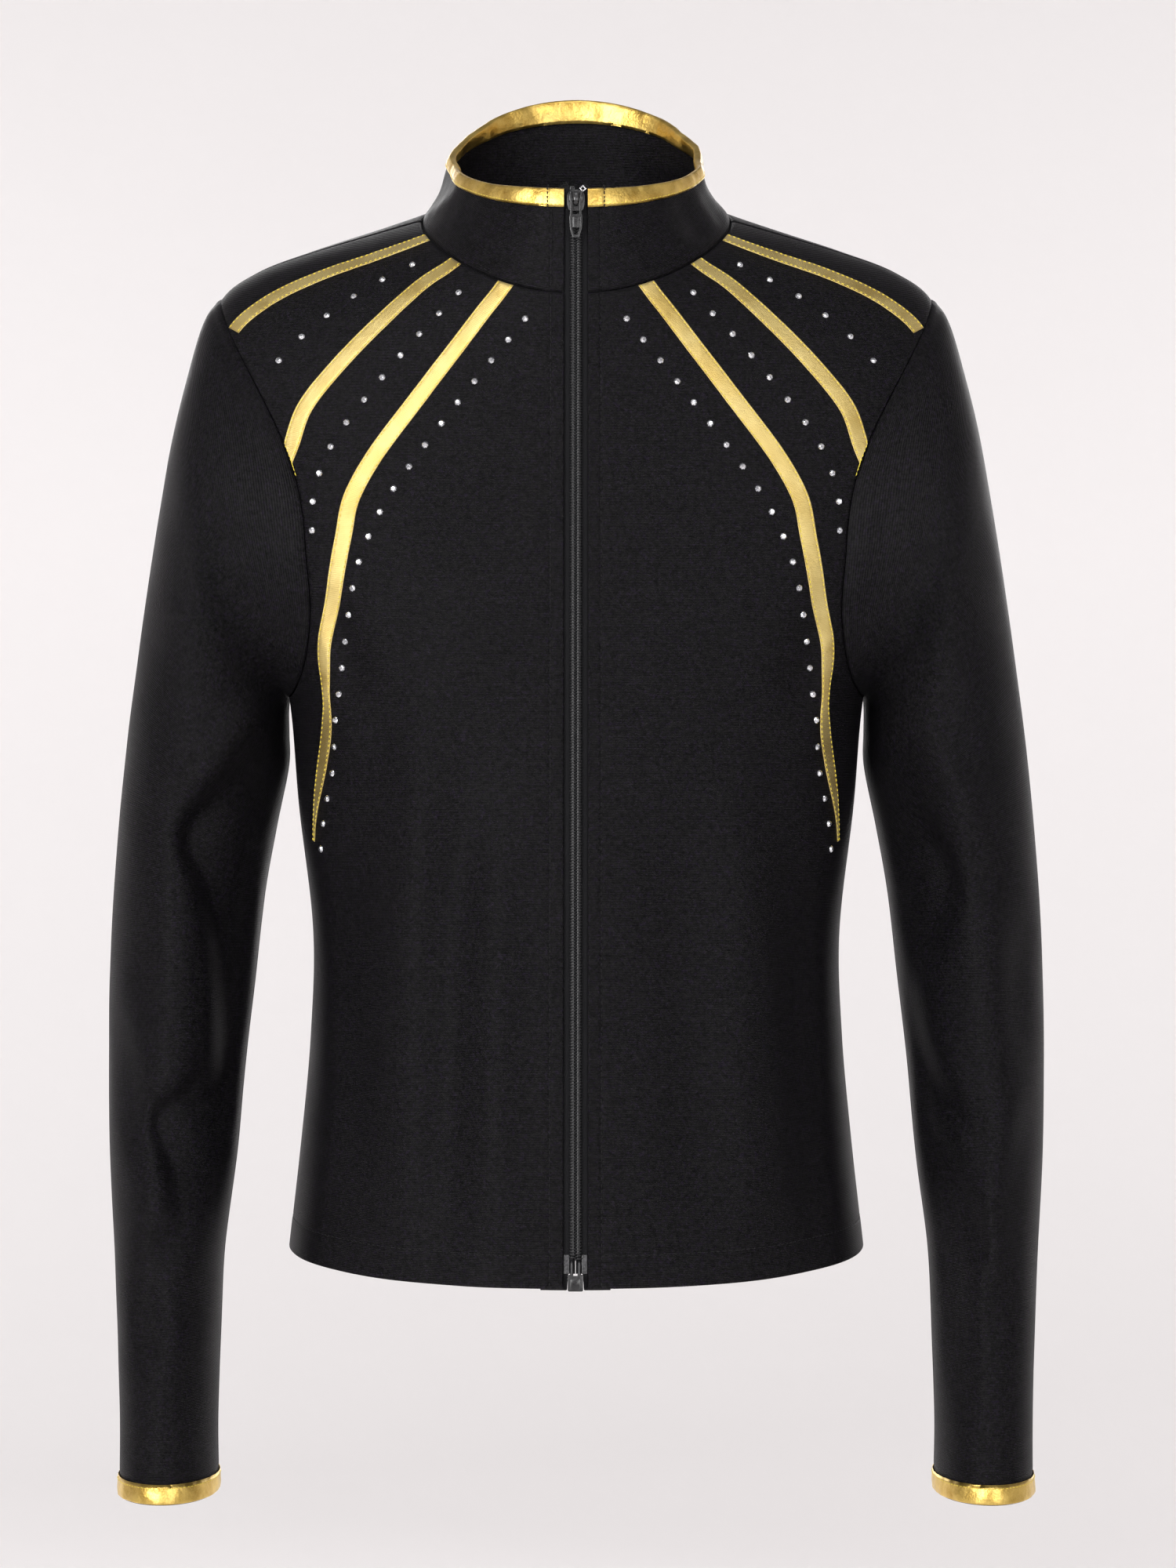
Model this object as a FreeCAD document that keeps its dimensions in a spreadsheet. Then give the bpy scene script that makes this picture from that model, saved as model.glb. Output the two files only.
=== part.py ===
import FreeCAD, Part

# Child's zip-front cheer jacket: stand collar, set-in sleeves, gold stripes and rows of stones.
# Millimetres, +Z up.  The wearer faces -Y, so +X is the wearer's left.
# The origin is the centre of the neck seam, level with the two points where it meets the shoulder seams.
# Soft pieces are thin closed solids lofted over two formula surfaces, the torso and the sleeve.  The zip
# runs in a straight line down the centre front, so its hard parts are built flat and laid on that line.

import math
import os

import Sketcher

Vector = FreeCAD.Vector
Rotation = FreeCAD.Rotation
Placement = FreeCAD.Placement

doc = FreeCAD.newDocument("cheer_jacket")

# ---------------------------------------------------------------- driving dimensions

DIMENSIONS = {
    # cloth and trim
    "cloth_thick": 1.0,
    "seam_gap": 0.12,
    "trim_thick": 0.6,
    "trim_gap": 0.2,
    "stripe_width": 7.4,
    "stripe_short": 0.4,
    "binding_tall": 8.5,
    "binding_proud": 0.5,
    "stone_radius": 1.45,
    "stone_table": 0.75,
    "stone_tall": 1.1,
    # centre-front line: how far forward it stands at the neck, and how much more per mm down
    "front_forward": 60.0,
    "front_lean": 0.125,
    "front_edge": 4.9,
    # armhole: the loop where the sleeve is set into the torso surface
    "armhole_high": 3.88,
    "armhole_low": 8.08,
    "armhole_front": 29.0,
    "armhole_rear": 25.0,
    "armhole_square": 2.7,
    "sleeve_gap": 0.5,
    "cuff_gap": 0.015,
    "collar_start": 0.03,
    "collar_gap": 0.01,
    "edge_step": 0.01,
    "facing_short": 0.6,
    # zip tape and coils, heights measured outwards from the cloth's face
    "tape_inner": 0.7,
    "tape_outer": 14.0,
    "tape_front": -1.4,
    "tape_back": -2.0,
    "tape_top": 6.5,
    "tape_foot": -448.0,
    "tape_slot": 0.15,
    "zip_gap": 0.1,
    "coil_inner": 0.55,
    "coil_outer": 2.4,
    "coil_front": 0.5,
    "coil_top": 2.7,
    "coil_foot": -436.0,
    "stop_top": 4.5,
    "stop_outer": 2.5,
    "stop_front": 0.8,
    "film_inner": 2.7,
    "film_outer": 4.7,
    "film_thick": 0.2,
    "film_top": -434.0,
    # retainer box and pins
    "box_half": 3.1,
    "box_top": -441.8,
    "box_foot": -448.4,
    "box_front": 1.5,
    "box_back": -3.3,
    "box_round": 0.7,
    "box_gap": 0.3,
    "box_notch_deep": 20.0,
    "bore_extra": 0.2,
    "bore_mouth": 0.5,
    "pin_radius": 0.65,
    "pin_bore": 0.75,
    "pin_across": 1.5,
    "pin_height": -0.7,
    "pin_top": -436.4,
    "pin_foot": -447.4,
    # slider
    "slider_centre": -2.0,
    "slider_half_length": 4.5,
    "slider_half_width": 3.65,
    "slider_tail_half": 2.9,
    "slider_plate_low": 0.9,
    "slider_plate_high": 1.9,
    "slider_back_low": -3.3,
    "slider_back_high": -2.4,
    "slider_post_half": 0.2,
    "slider_post_low": 1.2,
    "slider_post_high": 4.2,
    "slider_flange_inner": 2.85,
    "slider_flange_low": -0.6,
    "slider_round": 0.3,
    "slider_low_share": 0.3,
    "slider_high_share": 0.7,
    "slider_join": 0.2,
    "bail_half_width": 0.7,
    "bail_outer": 2.6,
    "bail_inner": 1.6,
    "bail_window": 3.8,
    "bail_high": 4.7,
    # pull tab
    "pull_pivot": 2.85,
    "pull_step": 1.0,
    "pull_rim": 0.4,
    "pull_bar": 1.2,
    "pull_half_thick": 0.45,
    "pull_half_width": 2.7,
    "pull_neck_half": 2.3,
    "pull_window_half": 1.25,
    "pull_window_foot": -6.2,
    "pull_shoulder": -13.6,
    "pull_foot": -16.2,
    "pull_tip_half": 1.5,
    "pull_recess": 0.15,
}

# Torso stations from the neck seam to the hem.  Each is one closed ring of the surface: half width, how
# far back it reaches, its height at the front, side and back, and how square its plan is (2 = ellipse).
RING_FIELDS = ("half_width", "rear", "front_z", "side_z", "rear_z", "square")
RINGS = {
    "neck": (66.5, 58, -40, 0, 12, 2.0),
    "collarbone": (89, 68, -60, -6.5, -8, 2.05),
    "yoke": (114, 78, -82, -14, -32, 2.1),
    "blade": (138, 86, -106, -23, -60, 2.2),
    "shoulder": (154, 91, -130, -36, -88, 2.3),
    "cap": (160, 93, -152, -63, -114, 2.35),
    "chest": (153, 93, -176, -100, -142, 2.35),
    "bust": (137, 91, -202, -148, -174, 2.35),
    "underarm": (124, 86, -232, -200, -210, 2.3),
    "ribs": (119, 80, -270, -252, -258, 2.3),
    "waist": (113, 74, -315, -305, -305, 2.25),
    "flank": (114, 75, -357, -350, -350, 2.25),
    "hip": (118, 79, -400, -395, -397, 2.25),
    "hem": (123, 84, -444, -440, -442, 2.25),
}
COLLAR_RINGS = {
    "collar_base": (66.5, 58, -40, 0, 12, 2.0),
    "collar_middle": (57.5, 54, -18, 13, 35, 2.0),
    "collar_rim": (53.5, 51, 4, 27, 62, 2.0),
}

# Sleeve stations from the armhole to the cuff: where the underarm line and the outer line are across and
# up, the depth before and behind the arm's centre, that centre's place, and how far the station is dished.
CUFF_FIELDS = ("under_x", "under_z", "outer_x", "outer_z", "depth", "centre_y", "dish")
SLEEVE_STATIONS = {
    "set_in": (124.0, -201, 155, -35, 58, 0, 26),
    "crown": (124.4, -205, 161, -43, 60, 0, 20),
    "upper": (124.3, -212, 167, -66, 60, 0, 12),
    "upper_mid": (124.0, -222, 175.5, -107, 58, 0, 5),
    "biceps": (124.2, -236, 185, -165, 54, 0, 1),
    "above_elbow": (129.5, -262, 193.5, -228, 50, 1, 0),
    "elbow_top": (134.5, -290, 198.5, -280, 47, 2, 0),
    "elbow": (138.5, -325, 200.8, -325, 44, 2, 0),
    "below_elbow": (142.5, -361, 201, -361, 42, 0, 0),
    "forearm": (146.0, -402, 200, -402, 39, -4, 0),
    "forearm_low": (150.8, -442, 197.5, -442, 36, -8, 0),
    "wrist_top": (152.2, -480, 195.6, -480, 34, -12, 0),
    "wrist": (153.0, -513, 194.4, -513, 33, -15, 0),
    "cuff_top": (152.6, -535, 194.2, -535, 33, -17, 0),
    "cuff_foot": (152.4, -543.5, 194.6, -543.5, 33.5, -18, 0),
}

# Stripe centre lines on the torso surface: (degrees round from the centre front, station number).
STRIPES = {
    "outer": ((70.5, 0.08), (74.0, 0.9), (77.4, 1.9), (78.6, 2.9), (78.9, 3.84)),
    "middle": ((50.0, 0.16), (55.2, 0.85), (59.4, 1.95), (62.2, 3.0), (63.7, 3.8), (64.0, 4.45),
               (64.6, 4.85)),
    "inner": ((27.0, 0.12), (34.4, 1.0), (43.0, 2.25), (49.7, 3.5), (53.4, 4.6), (54.4, 5.5), (56.4, 6.5),
              (60.0, 7.3), (61.4, 8.0), (64.0, 8.5), (69.2, 9.2)),
}
# Stone rows: how many stones, and the line they follow.
STONE_ROWS = {
    "outer": (6, ((62.7, 0.65), (66.8, 1.45), (69.0, 2.4), (70.2, 3.5))),
    "middle": (11, ((42.6, 0.6), (49.8, 1.74), (54.8, 2.9), (58.2, 4.0), (59.5, 4.9), (59.6, 5.6))),
    "inner": (23, ((18.0, 0.67), (29.4, 1.76), (39.2, 2.92), (46.4, 4.15), (50.8, 5.45), (53.8, 6.7),
                   (56.6, 7.5), (59.4, 8.1), (60.3, 8.5), (65.9, 9.24))),
}

sheet = doc.addObject("Spreadsheet::Sheet", "Sheet")
rows = list(DIMENSIONS.items())
for table, fields in ((RINGS, RING_FIELDS), (COLLAR_RINGS, RING_FIELDS), (SLEEVE_STATIONS, CUFF_FIELDS)):
    for station, values in table.items():
        rows += [(station + "_" + field, value) for field, value in zip(fields, values)]
for line, (alias, value) in enumerate(rows, start=1):
    sheet.set("A%d" % line, alias)
    sheet.set("B%d" % line, str(value))
    sheet.setAlias("B%d" % line, alias)
doc.recompute()


def size(alias):
    """One driving dimension, read from the sheet."""
    return float(sheet.get(alias))


def columns(table, fields):
    """The stations of a table as one list of sheet values for each field."""
    return [[size(station + "_" + field) for station in table] for field in fields]


# ---------------------------------------------------------------- formula surfaces

def spline(values, at):
    """Catmull-Rom curve through evenly spaced values."""
    low = max(0, min(int(at), len(values) - 2))
    part = at - low
    here, after = values[low], values[low + 1]
    before = values[low - 1] if low > 0 else 2 * here - after
    beyond = values[low + 2] if low + 2 < len(values) else 2 * after - here
    return 0.5 * (2 * here + (after - before) * part
                  + (2 * before - 5 * here + 4 * after - beyond) * part ** 2
                  + (3 * here - before - 3 * after + beyond) * part ** 3)


RING_COLUMNS = columns(RINGS, RING_FIELDS)
COLLAR_COLUMNS = columns(COLLAR_RINGS, RING_FIELDS)
SLEEVE_COLUMNS = columns(SLEEVE_STATIONS, CUFF_FIELDS)
LAST_RING = len(RINGS) - 1
LAST_COLLAR = len(COLLAR_RINGS) - 1
LAST_CUFF = len(SLEEVE_STATIONS) - 1


def front_depth(z):
    """How far the straight centre-front line stands before the seam plane at height z."""
    return size("front_forward") - size("front_lean") * z


def ring_point(fields, angle):
    """Point of one ring, angle in degrees from the centre front towards the wearer's left."""
    half_width, rear, front_z, side_z, rear_z, square = fields
    across = math.sin(math.radians(angle))
    ahead = math.cos(math.radians(angle))
    depth = front_depth(front_z) if ahead >= 0 else rear
    reach = (abs(across / half_width) ** square + abs(ahead / depth) ** square) ** (-1 / square)
    share = reach * ahead / depth
    height = side_z + (front_z - rear_z) / 2 * share + ((front_z + rear_z) / 2 - side_z) * share ** 2
    return Vector(reach * across, -reach * ahead, height)


def torso(angle, station):
    return ring_point([spline(column, station) for column in RING_COLUMNS], angle)


def collar(angle, station):
    return ring_point([spline(column, station) for column in COLLAR_COLUMNS], angle)


ARMHOLE_MIDDLE = (size("armhole_high") + size("armhole_low")) / 2
ARMHOLE_REACH = (size("armhole_low") - size("armhole_high")) / 2


def armhole_bulge(station):
    """How far the armhole loop reaches from the side seam at a station, as a share of its deepest."""
    round_off = size("armhole_square")
    share = abs((station - ARMHOLE_MIDDLE) / ARMHOLE_REACH)
    return max(0.0, 1 - share ** round_off) ** (1 / round_off)


def armhole(turn):
    """Torso coordinates of the armhole loop; turn 0 is the top, 90 the front, 180 the underarm."""
    station = ARMHOLE_MIDDLE - ARMHOLE_REACH * math.cos(math.radians(turn))
    if math.sin(math.radians(turn)) >= 0:
        return 90 - size("armhole_front") * armhole_bulge(station), station
    return 90 + size("armhole_rear") * armhole_bulge(station), station


def sleeve_ring(turn, station):
    """Point of the plain sleeve tube, before its start is drawn onto the armhole."""
    under_x, under_z, outer_x, outer_z, depth, centre_y, dish = [spline(c, station) for c in SLEEVE_COLUMNS]
    up, ahead = math.cos(math.radians(turn)), math.sin(math.radians(turn))
    span = Vector(outer_x - under_x, 0, outer_z - under_z)
    middle = Vector((outer_x + under_x) / 2, centre_y, (outer_z + under_z) / 2)
    inward = Vector(span.z, 0, -span.x).normalize()
    return middle + span * (up / 2) + Vector(0, -depth * ahead, 0) + inward * (dish * ahead ** 2)


SLEEVE_JOIN = 3.0


def sleeve(turn, station):
    """Sleeve surface on the wearer's left: starts just outside the armhole loop, runs to the cuff."""
    point = sleeve_ring(turn, station)
    if station < SLEEVE_JOIN:
        start = torso(*armhole(turn)) + Vector(size("sleeve_gap"), 0, 0)
        point += (start - sleeve_ring(turn, 0)) * (1 - station / SLEEVE_JOIN) ** 2
    return point


def normal(surface, angle, station):
    """Outward unit normal of a surface by central differences."""
    across = surface(angle + 0.5, station) - surface(angle - 0.5, station)
    along = surface(angle, station + 0.05) - surface(angle, max(0.0, station - 0.05))
    outward = along.cross(across) if surface is torso else across.cross(along)
    return outward.normalize()


def lifted(surface, angle, station, height):
    """Surface point moved outwards by height."""
    return surface(angle, station) + normal(surface, angle, station) * height


# ---------------------------------------------------------------- thin closed solids

def pole_face(grid, across_degree=3):
    """Clamped B-spline face whose poles are a grid of points; its edges depend only on its edge poles."""
    along, across = len(grid), len(grid[0])
    surface = Part.BSplineSurface()
    surface.buildFromPolesMultsKnots(
        grid,
        [4] + [1] * (along - 4) + [4],
        [across_degree + 1] + [1] * (across - across_degree - 1) + [across_degree + 1],
        list(range(along - 2)),
        list(range(across - across_degree + 1)),
        False, False, 3, across_degree)
    return surface.toShape()


def wall(outer_edge, inner_edge):
    """Face that joins two rows of poles."""
    return pole_face([[a, b] for a, b in zip(outer_edge, inner_edge)], across_degree=1)


def layer_faces(surface, places, top, bottom, free):
    """Faces of one block: places is a grid of surface coordinates, free names its open edges."""
    outer = [[lifted(surface, angle, station, top) for angle, station in row] for row in places]
    inner = [[lifted(surface, angle, station, bottom) for angle, station in row] for row in places]
    faces = [pole_face(outer), pole_face(inner)]
    edges = {
        "first": lambda grid: grid[0],
        "last": lambda grid: grid[-1],
        "left": lambda grid: [row[0] for row in grid],
        "right": lambda grid: [row[-1] for row in grid],
    }
    return faces + [wall(edges[name](outer), edges[name](inner)) for name in free]


def solid_from(faces):
    """Sew faces into one closed solid."""
    sewn = Part.makeCompound(faces)
    sewn.sewShape()
    solid = Part.makeSolid(sewn.Shells[0])
    if solid.Volume < 0:
        solid.reverse()
    return solid


MIRROR_BASE = Vector(0, 0, 0)
MIRROR_NORMAL = Vector(1, 0, 0)


def add_piece(label, shape, mirrored=False):
    """Document object of a soft piece; the wearer's right is the mirror of the left."""
    if mirrored:
        shape = shape.mirror(MIRROR_BASE, MIRROR_NORMAL)
    piece = doc.addObject("Part::Feature", label)
    piece.Label = label
    piece.Shape = shape
    piece.Placement = Placement()
    return piece


def steps(start, stop, count):
    """Evenly spaced values, both ends included."""
    return [start + (stop - start) * i / (count - 1) for i in range(count)]


ACROSS = 29
TURNS = 23


def front_angle(half_gap, forward):
    """Angle at which a ring is half_gap from the centre-front line."""
    return math.degrees(math.atan2(half_gap, forward))


def side_shift(half_width):
    """Angle of half a seam gap at the side of a ring."""
    return math.degrees(size("seam_gap") / 2 / half_width)


def panel_row(station, start, stop):
    return [(angle, station) for angle in steps(start, stop, ACROSS)]


def front_panel():
    """Front panel: neck to shoulder point, armhole stretch, side seam to hem."""
    def start(station):
        forward = front_depth(spline(RING_COLUMNS[2], station))
        return front_angle(size("front_edge"), forward)

    side = 90 - side_shift(size("shoulder_half_width"))
    high, low = size("armhole_high"), size("armhole_low")
    above = [panel_row(s, start(s), side) for s in steps(0.02, high, 22)]
    beside = []
    for turn in steps(0, 180, TURNS):
        edge, station = armhole(turn)
        beside.append(panel_row(station, start(station), min(edge, side)))
    below = [panel_row(s, start(s), side) for s in steps(low, LAST_RING, 22)]
    return panel_solid(above, beside, below)


def back_panel():
    """Back panel: one piece from side seam to side seam."""
    side = 90 + side_shift(size("shoulder_half_width"))
    high, low = size("armhole_high"), size("armhole_low")
    above = [panel_row(s, side, 360 - side) for s in steps(0.02, high, 22)]
    beside = []
    for turn in steps(0, 180, TURNS):
        edge, station = armhole(-turn)
        beside.append(panel_row(station, max(edge, side), 360 - max(edge, side)))
    below = [panel_row(s, side, 360 - side) for s in steps(low, LAST_RING, 22)]
    return panel_solid(above, beside, below)


def panel_solid(above, beside, below):
    thick = size("cloth_thick")
    faces = layer_faces(torso, above, 0, -thick, ("first", "left", "right"))
    faces += layer_faces(torso, beside, 0, -thick, ("left", "right"))
    faces += layer_faces(torso, below, 0, -thick, ("last", "left", "right"))
    return solid_from(faces)


def tube_solid(first_station, last_station, rings, top, bottom):
    """Ring of sleeve cloth between two stations, made of a front half and a rear half."""
    faces = []
    for start, stop in ((0, 180), (180, 360)):
        places = [[(turn, s) for turn in steps(start, stop, 23)]
                  for s in steps(first_station, last_station, rings)]
        faces += layer_faces(sleeve, places, top, bottom, ("first", "last"))
    return solid_from(faces)


def collar_layer(first_station, last_station, half_gap, top, bottom):
    """Band of the stand collar, open at the centre front by twice half_gap."""
    places = []
    for station in steps(first_station, last_station, 8):
        edge = front_angle(half_gap, front_depth(spline(COLLAR_COLUMNS[2], station)))
        places.append([(angle, station) for angle in steps(edge, 360 - edge, 49)])
    return solid_from(layer_faces(collar, places, top, bottom, ("first", "last", "left", "right")))


def route_point(route, at):
    """Torso coordinates along a route of (angle, station) points."""
    return tuple(spline([point[i] for point in route], at) for i in (0, 1))


def side_step(route, at, distance):
    """Torso coordinates a distance to one side of a route, kept inside the armhole seam."""
    angle, station = route_point(route, at)
    ahead = torso(*route_point(route, at + 0.05)) - torso(*route_point(route, at - 0.05))
    side = normal(torso, angle, station).cross(ahead).normalize() * distance
    by_angle = (torso(angle + 0.5, station) - torso(angle - 0.5, station))
    by_station = (torso(angle, station + 0.02) - torso(angle, station - 0.02)) * 25
    aa, bb, ab = by_angle.dot(by_angle), by_station.dot(by_station), by_angle.dot(by_station)
    sa, sb = side.dot(by_angle), side.dot(by_station)
    spread = aa * bb - ab * ab
    station += (sb * aa - sa * ab) / spread
    seam = 90 - size("armhole_front") * armhole_bulge(station)
    return min(angle + (sa * bb - sb * ab) / spread, seam - size("stripe_short")), station


def stripe(route):
    """Gold strip laid along a route on the front panel."""
    half = size("stripe_width") / 2
    low = size("trim_gap")
    places = []
    for at in steps(0, len(route) - 1, 6 * len(route)):
        places.append([side_step(route, at, distance) for distance in steps(-half, half, 4)])
    faces = layer_faces(torso, places, low + size("trim_thick"), low, ("first", "last", "left", "right"))
    return solid_from(faces)


def spaced(route, count):
    """Torso coordinates of count places evenly spaced by length along a route."""
    fine = steps(0, len(route) - 1, 20 * len(route))
    points = [torso(*route_point(route, at)) for at in fine]
    run = [0.0]
    for before, after in zip(points, points[1:]):
        run.append(run[-1] + (after - before).Length)
    places = []
    for target in steps(0, run[-1], count):
        index = max(i for i in range(len(run)) if run[i] <= target + 1e-6)
        places.append(route_point(route, fine[index]))
    return places


def stone_row(count, route):
    """Row of flat-backed stones, each a low cone frustum standing on the cloth."""
    stones = []
    for angle, station in spaced(route, count):
        outward = normal(torso, angle, station)
        base = torso(angle, station) + outward * size("trim_gap")
        stone = Part.makeCone(size("stone_radius"), size("stone_table"), size("stone_tall"), base, outward)
        stones.append(stone)
    return Part.makeCompound(stones)


# ---------------------------------------------------------------- zip parts

# Flat zip frame: X across, Y up along the zip, Z outwards from the cloth's face.
ZIP_TURN = Rotation(Vector(1, 0, 0), math.degrees(math.atan2(1, size("front_lean"))))
ZIP_BASE = Vector(0, -size("front_forward"), 0)


def add_body(label, lift=0.0):
    """Body in the zip frame, its origin lift millimetres up the zip from the neck level."""
    body = doc.addObject("PartDesign::Body", label)
    body.Label = label
    body.Placement = Placement(ZIP_BASE + ZIP_TURN.multVec(Vector(0, lift, 0)), ZIP_TURN)
    return body


def outline(body, points, level, role="XY_Plane"):
    """Closed polygon sketch; each corner is a pair of expressions, level is its height expression."""
    plane = [f for f in body.Origin.OriginFeatures if f.Role == role][0]
    sketch = body.newObject("Sketcher::SketchObject", body.Label + "_outline")
    sketch.AttachmentSupport = [(plane, "")]
    sketch.MapMode = "FlatFace"
    sketch.setExpression(".AttachmentOffset.Base.z", level)
    corners = [Vector(sheet.evalExpression(x), sheet.evalExpression(y), 0) for x, y in points]
    for i, corner in enumerate(corners):
        sketch.addGeometry(Part.LineSegment(corner, corners[(i + 1) % len(corners)]), False)
    for i in range(len(corners)):
        sketch.addConstraint(Sketcher.Constraint("Coincident", i, 2, (i + 1) % len(corners), 1))
    for i, (x, y) in enumerate(points):
        across = sketch.addConstraint(Sketcher.Constraint("DistanceX", -1, 1, i, 1, corners[i].x))
        sketch.setExpression("Constraints[%d]" % across, x)
        along = sketch.addConstraint(Sketcher.Constraint("DistanceY", -1, 1, i, 1, corners[i].y))
        sketch.setExpression("Constraints[%d]" % along, y)
    return sketch


def pad(body, points, low, high, role="XY_Plane"):
    """Pad a polygon from one height expression to another."""
    feature = body.newObject("PartDesign::Pad", body.Label + "_pad")
    feature.Profile = outline(body, points, low, role)
    feature.setExpression("Length", "(%s) - (%s)" % (high, low))
    doc.recompute()
    return feature


def pocket(body, points, low, high):
    """Cut a polygon from one height up to another, and make sure that it took material away."""
    before = body.Shape.Volume
    feature = body.newObject("PartDesign::Pocket", body.Label + "_pocket")
    feature.Profile = outline(body, points, high)
    feature.setExpression("Length", "(%s) - (%s)" % (high, low))
    doc.recompute()
    assert body.Shape.Volume < before, body.Label
    return feature


def rectangle(left, right, foot, top):
    return [(left, foot), (right, foot), (right, top), (left, top)]


def round_edges(body, wanted, radius):
    """Fillet the edges of the body's tip that the test picks."""
    tip = body.Tip
    names = ["Edge%d" % (i + 1) for i, edge in enumerate(tip.Shape.Edges) if wanted(edge)]
    fillet = body.newObject("PartDesign::Fillet", body.Label + "_fillet")
    fillet.Base = (tip, names)
    fillet.setExpression("Radius", radius)
    doc.recompute()


def upright(edge):
    """True for an edge that stands along the zip frame's Z."""
    ends = [vertex.Point for vertex in edge.Vertexes]
    return len(ends) == 2 and abs(ends[0].x - ends[1].x) + abs(ends[0].y - ends[1].y) < 1e-6


def front_radius(z):
    """Radius at which the front curves away from the centre line at height z."""
    stations, table, last = RING_COLUMNS[2], RING_COLUMNS, LAST_RING
    if z > stations[0]:
        stations, table, last = COLLAR_COLUMNS[2], COLLAR_COLUMNS, LAST_COLLAR
    share = min(steps(0, last, 100), key=lambda at: abs(spline(stations, at) - z))
    return spline(table[0], share) ** 2 / front_depth(z)


def tape_solid(clear=0.0):
    """Zip tape behind the cloth, curved across with the front and grown all round by clear."""
    up, outward = ZIP_TURN.multVec(Vector(0, 1, 0)), ZIP_TURN.multVec(Vector(0, 0, 1))
    grids = []
    for height in (size("tape_front") + clear, size("tape_back") - clear):
        grid = []
        for along in steps(size("tape_foot"), size("tape_top"), 40):
            centre = ZIP_BASE + up * along + outward * height
            bend = 1 / (2 * front_radius(centre.z))
            grid.append([centre + Vector(x, bend * x * x, 0)
                         for x in steps(size("tape_inner") - clear, size("tape_outer") + clear, 6)])
        grids.append(grid)
    outer, inner = grids
    faces = [pole_face(outer), pole_face(inner), wall(outer[0], inner[0]), wall(outer[-1], inner[-1])]
    faces += [wall([row[i] for row in outer], [row[i] for row in inner]) for i in (0, -1)]
    return solid_from(faces)


def box_notch():
    """Space round the retainer box, which the tapes stand clear of."""
    reach, deep = size("box_half") + size("zip_gap"), size("box_notch_deep")
    foot = size("box_top") + size("box_gap") - deep
    notch = Part.makeBox(2 * reach, deep, deep, Vector(-reach, foot, -deep / 2))
    notch.Placement = Placement(ZIP_BASE, ZIP_TURN).multiply(notch.Placement)
    return notch


def sided(side, expression):
    """Expression on the wearer's left (side 1) or right (side -1)."""
    return expression if side > 0 else "-(" + expression + ")"


def zip_side(side, name):
    """One half of the zip: tape, coil envelope, top stop and film."""
    tape = add_piece("zip_tape_" + name, tape_solid().cut(box_notch()), side < 0)
    coil = add_body("zip_coil_" + name)
    near, far = sided(side, "Sheet.coil_inner"), sided(side, "Sheet.coil_outer")
    pad(coil, rectangle(near, far, "Sheet.coil_foot", "Sheet.coil_top"),
        "Sheet.tape_front", "Sheet.coil_front")

    stop = add_body("zip_top_stop_" + name)
    pad(stop, rectangle(near, sided(side, "Sheet.stop_outer"),
                        "Sheet.coil_top + Sheet.zip_gap", "Sheet.stop_top"),
        "Sheet.tape_front", "Sheet.stop_front")
    round_edges(stop, upright, "Sheet.slider_round")

    film = add_body("zip_film_" + name)
    pad(film, rectangle(sided(side, "Sheet.film_inner"), sided(side, "Sheet.film_outer"),
                        "Sheet.box_top + Sheet.box_gap", "Sheet.film_top"),
        "Sheet.tape_front", "Sheet.tape_front + Sheet.film_thick")
    return [tape, coil, stop, film]


def pin(label, side):
    """Round pin at the foot of one tape, held in the retainer box."""
    body = add_body(label)
    plane = [f for f in body.Origin.OriginFeatures if f.Role == "XZ_Plane"][0]
    sketch = body.newObject("Sketcher::SketchObject", label + "_outline")
    sketch.AttachmentSupport = [(plane, "")]
    sketch.MapMode = "FlatFace"
    centre = Vector(side * size("pin_across"), size("pin_height"), 0)
    sketch.addGeometry(Part.Circle(centre, Vector(0, 0, 1), size("pin_radius")), False)
    radius = sketch.addConstraint(Sketcher.Constraint("Radius", 0, size("pin_radius")))
    sketch.setExpression("Constraints[%d]" % radius, "Sheet.pin_radius")
    across = sketch.addConstraint(Sketcher.Constraint("DistanceX", -1, 1, 0, 3, centre.x))
    sketch.setExpression("Constraints[%d]" % across, sided(side, "Sheet.pin_across"))
    height = sketch.addConstraint(Sketcher.Constraint("DistanceY", -1, 1, 0, 3, centre.y))
    sketch.setExpression("Constraints[%d]" % height, "Sheet.pin_height")
    sketch.setExpression(".AttachmentOffset.Base.z", "-Sheet.pin_top")
    feature = body.newObject("PartDesign::Pad", label + "_pad")
    feature.Profile = sketch
    feature.setExpression("Length", "Sheet.pin_top - Sheet.pin_foot")
    doc.recompute()
    return body


def retainer_box():
    """Box at the hem with a bore for each pin, open at the top."""
    box = add_body("zip_box")
    pad(box, rectangle("-Sheet.box_half", "Sheet.box_half", "Sheet.box_foot", "Sheet.box_top"),
        "Sheet.box_back", "Sheet.box_front")
    round_edges(box, upright, "Sheet.box_round")
    for side in (-1, 1):
        bore_low = sided(side, "Sheet.pin_across") + " - Sheet.pin_bore"
        bore_high = sided(side, "Sheet.pin_across") + " + Sheet.pin_bore"
        pocket(box, rectangle(bore_low, bore_high, "Sheet.pin_foot - Sheet.bore_extra",
                              "Sheet.box_top + Sheet.bore_mouth"),
               "Sheet.pin_height - Sheet.pin_bore", "Sheet.pin_height + Sheet.pin_bore")
    return box


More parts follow.
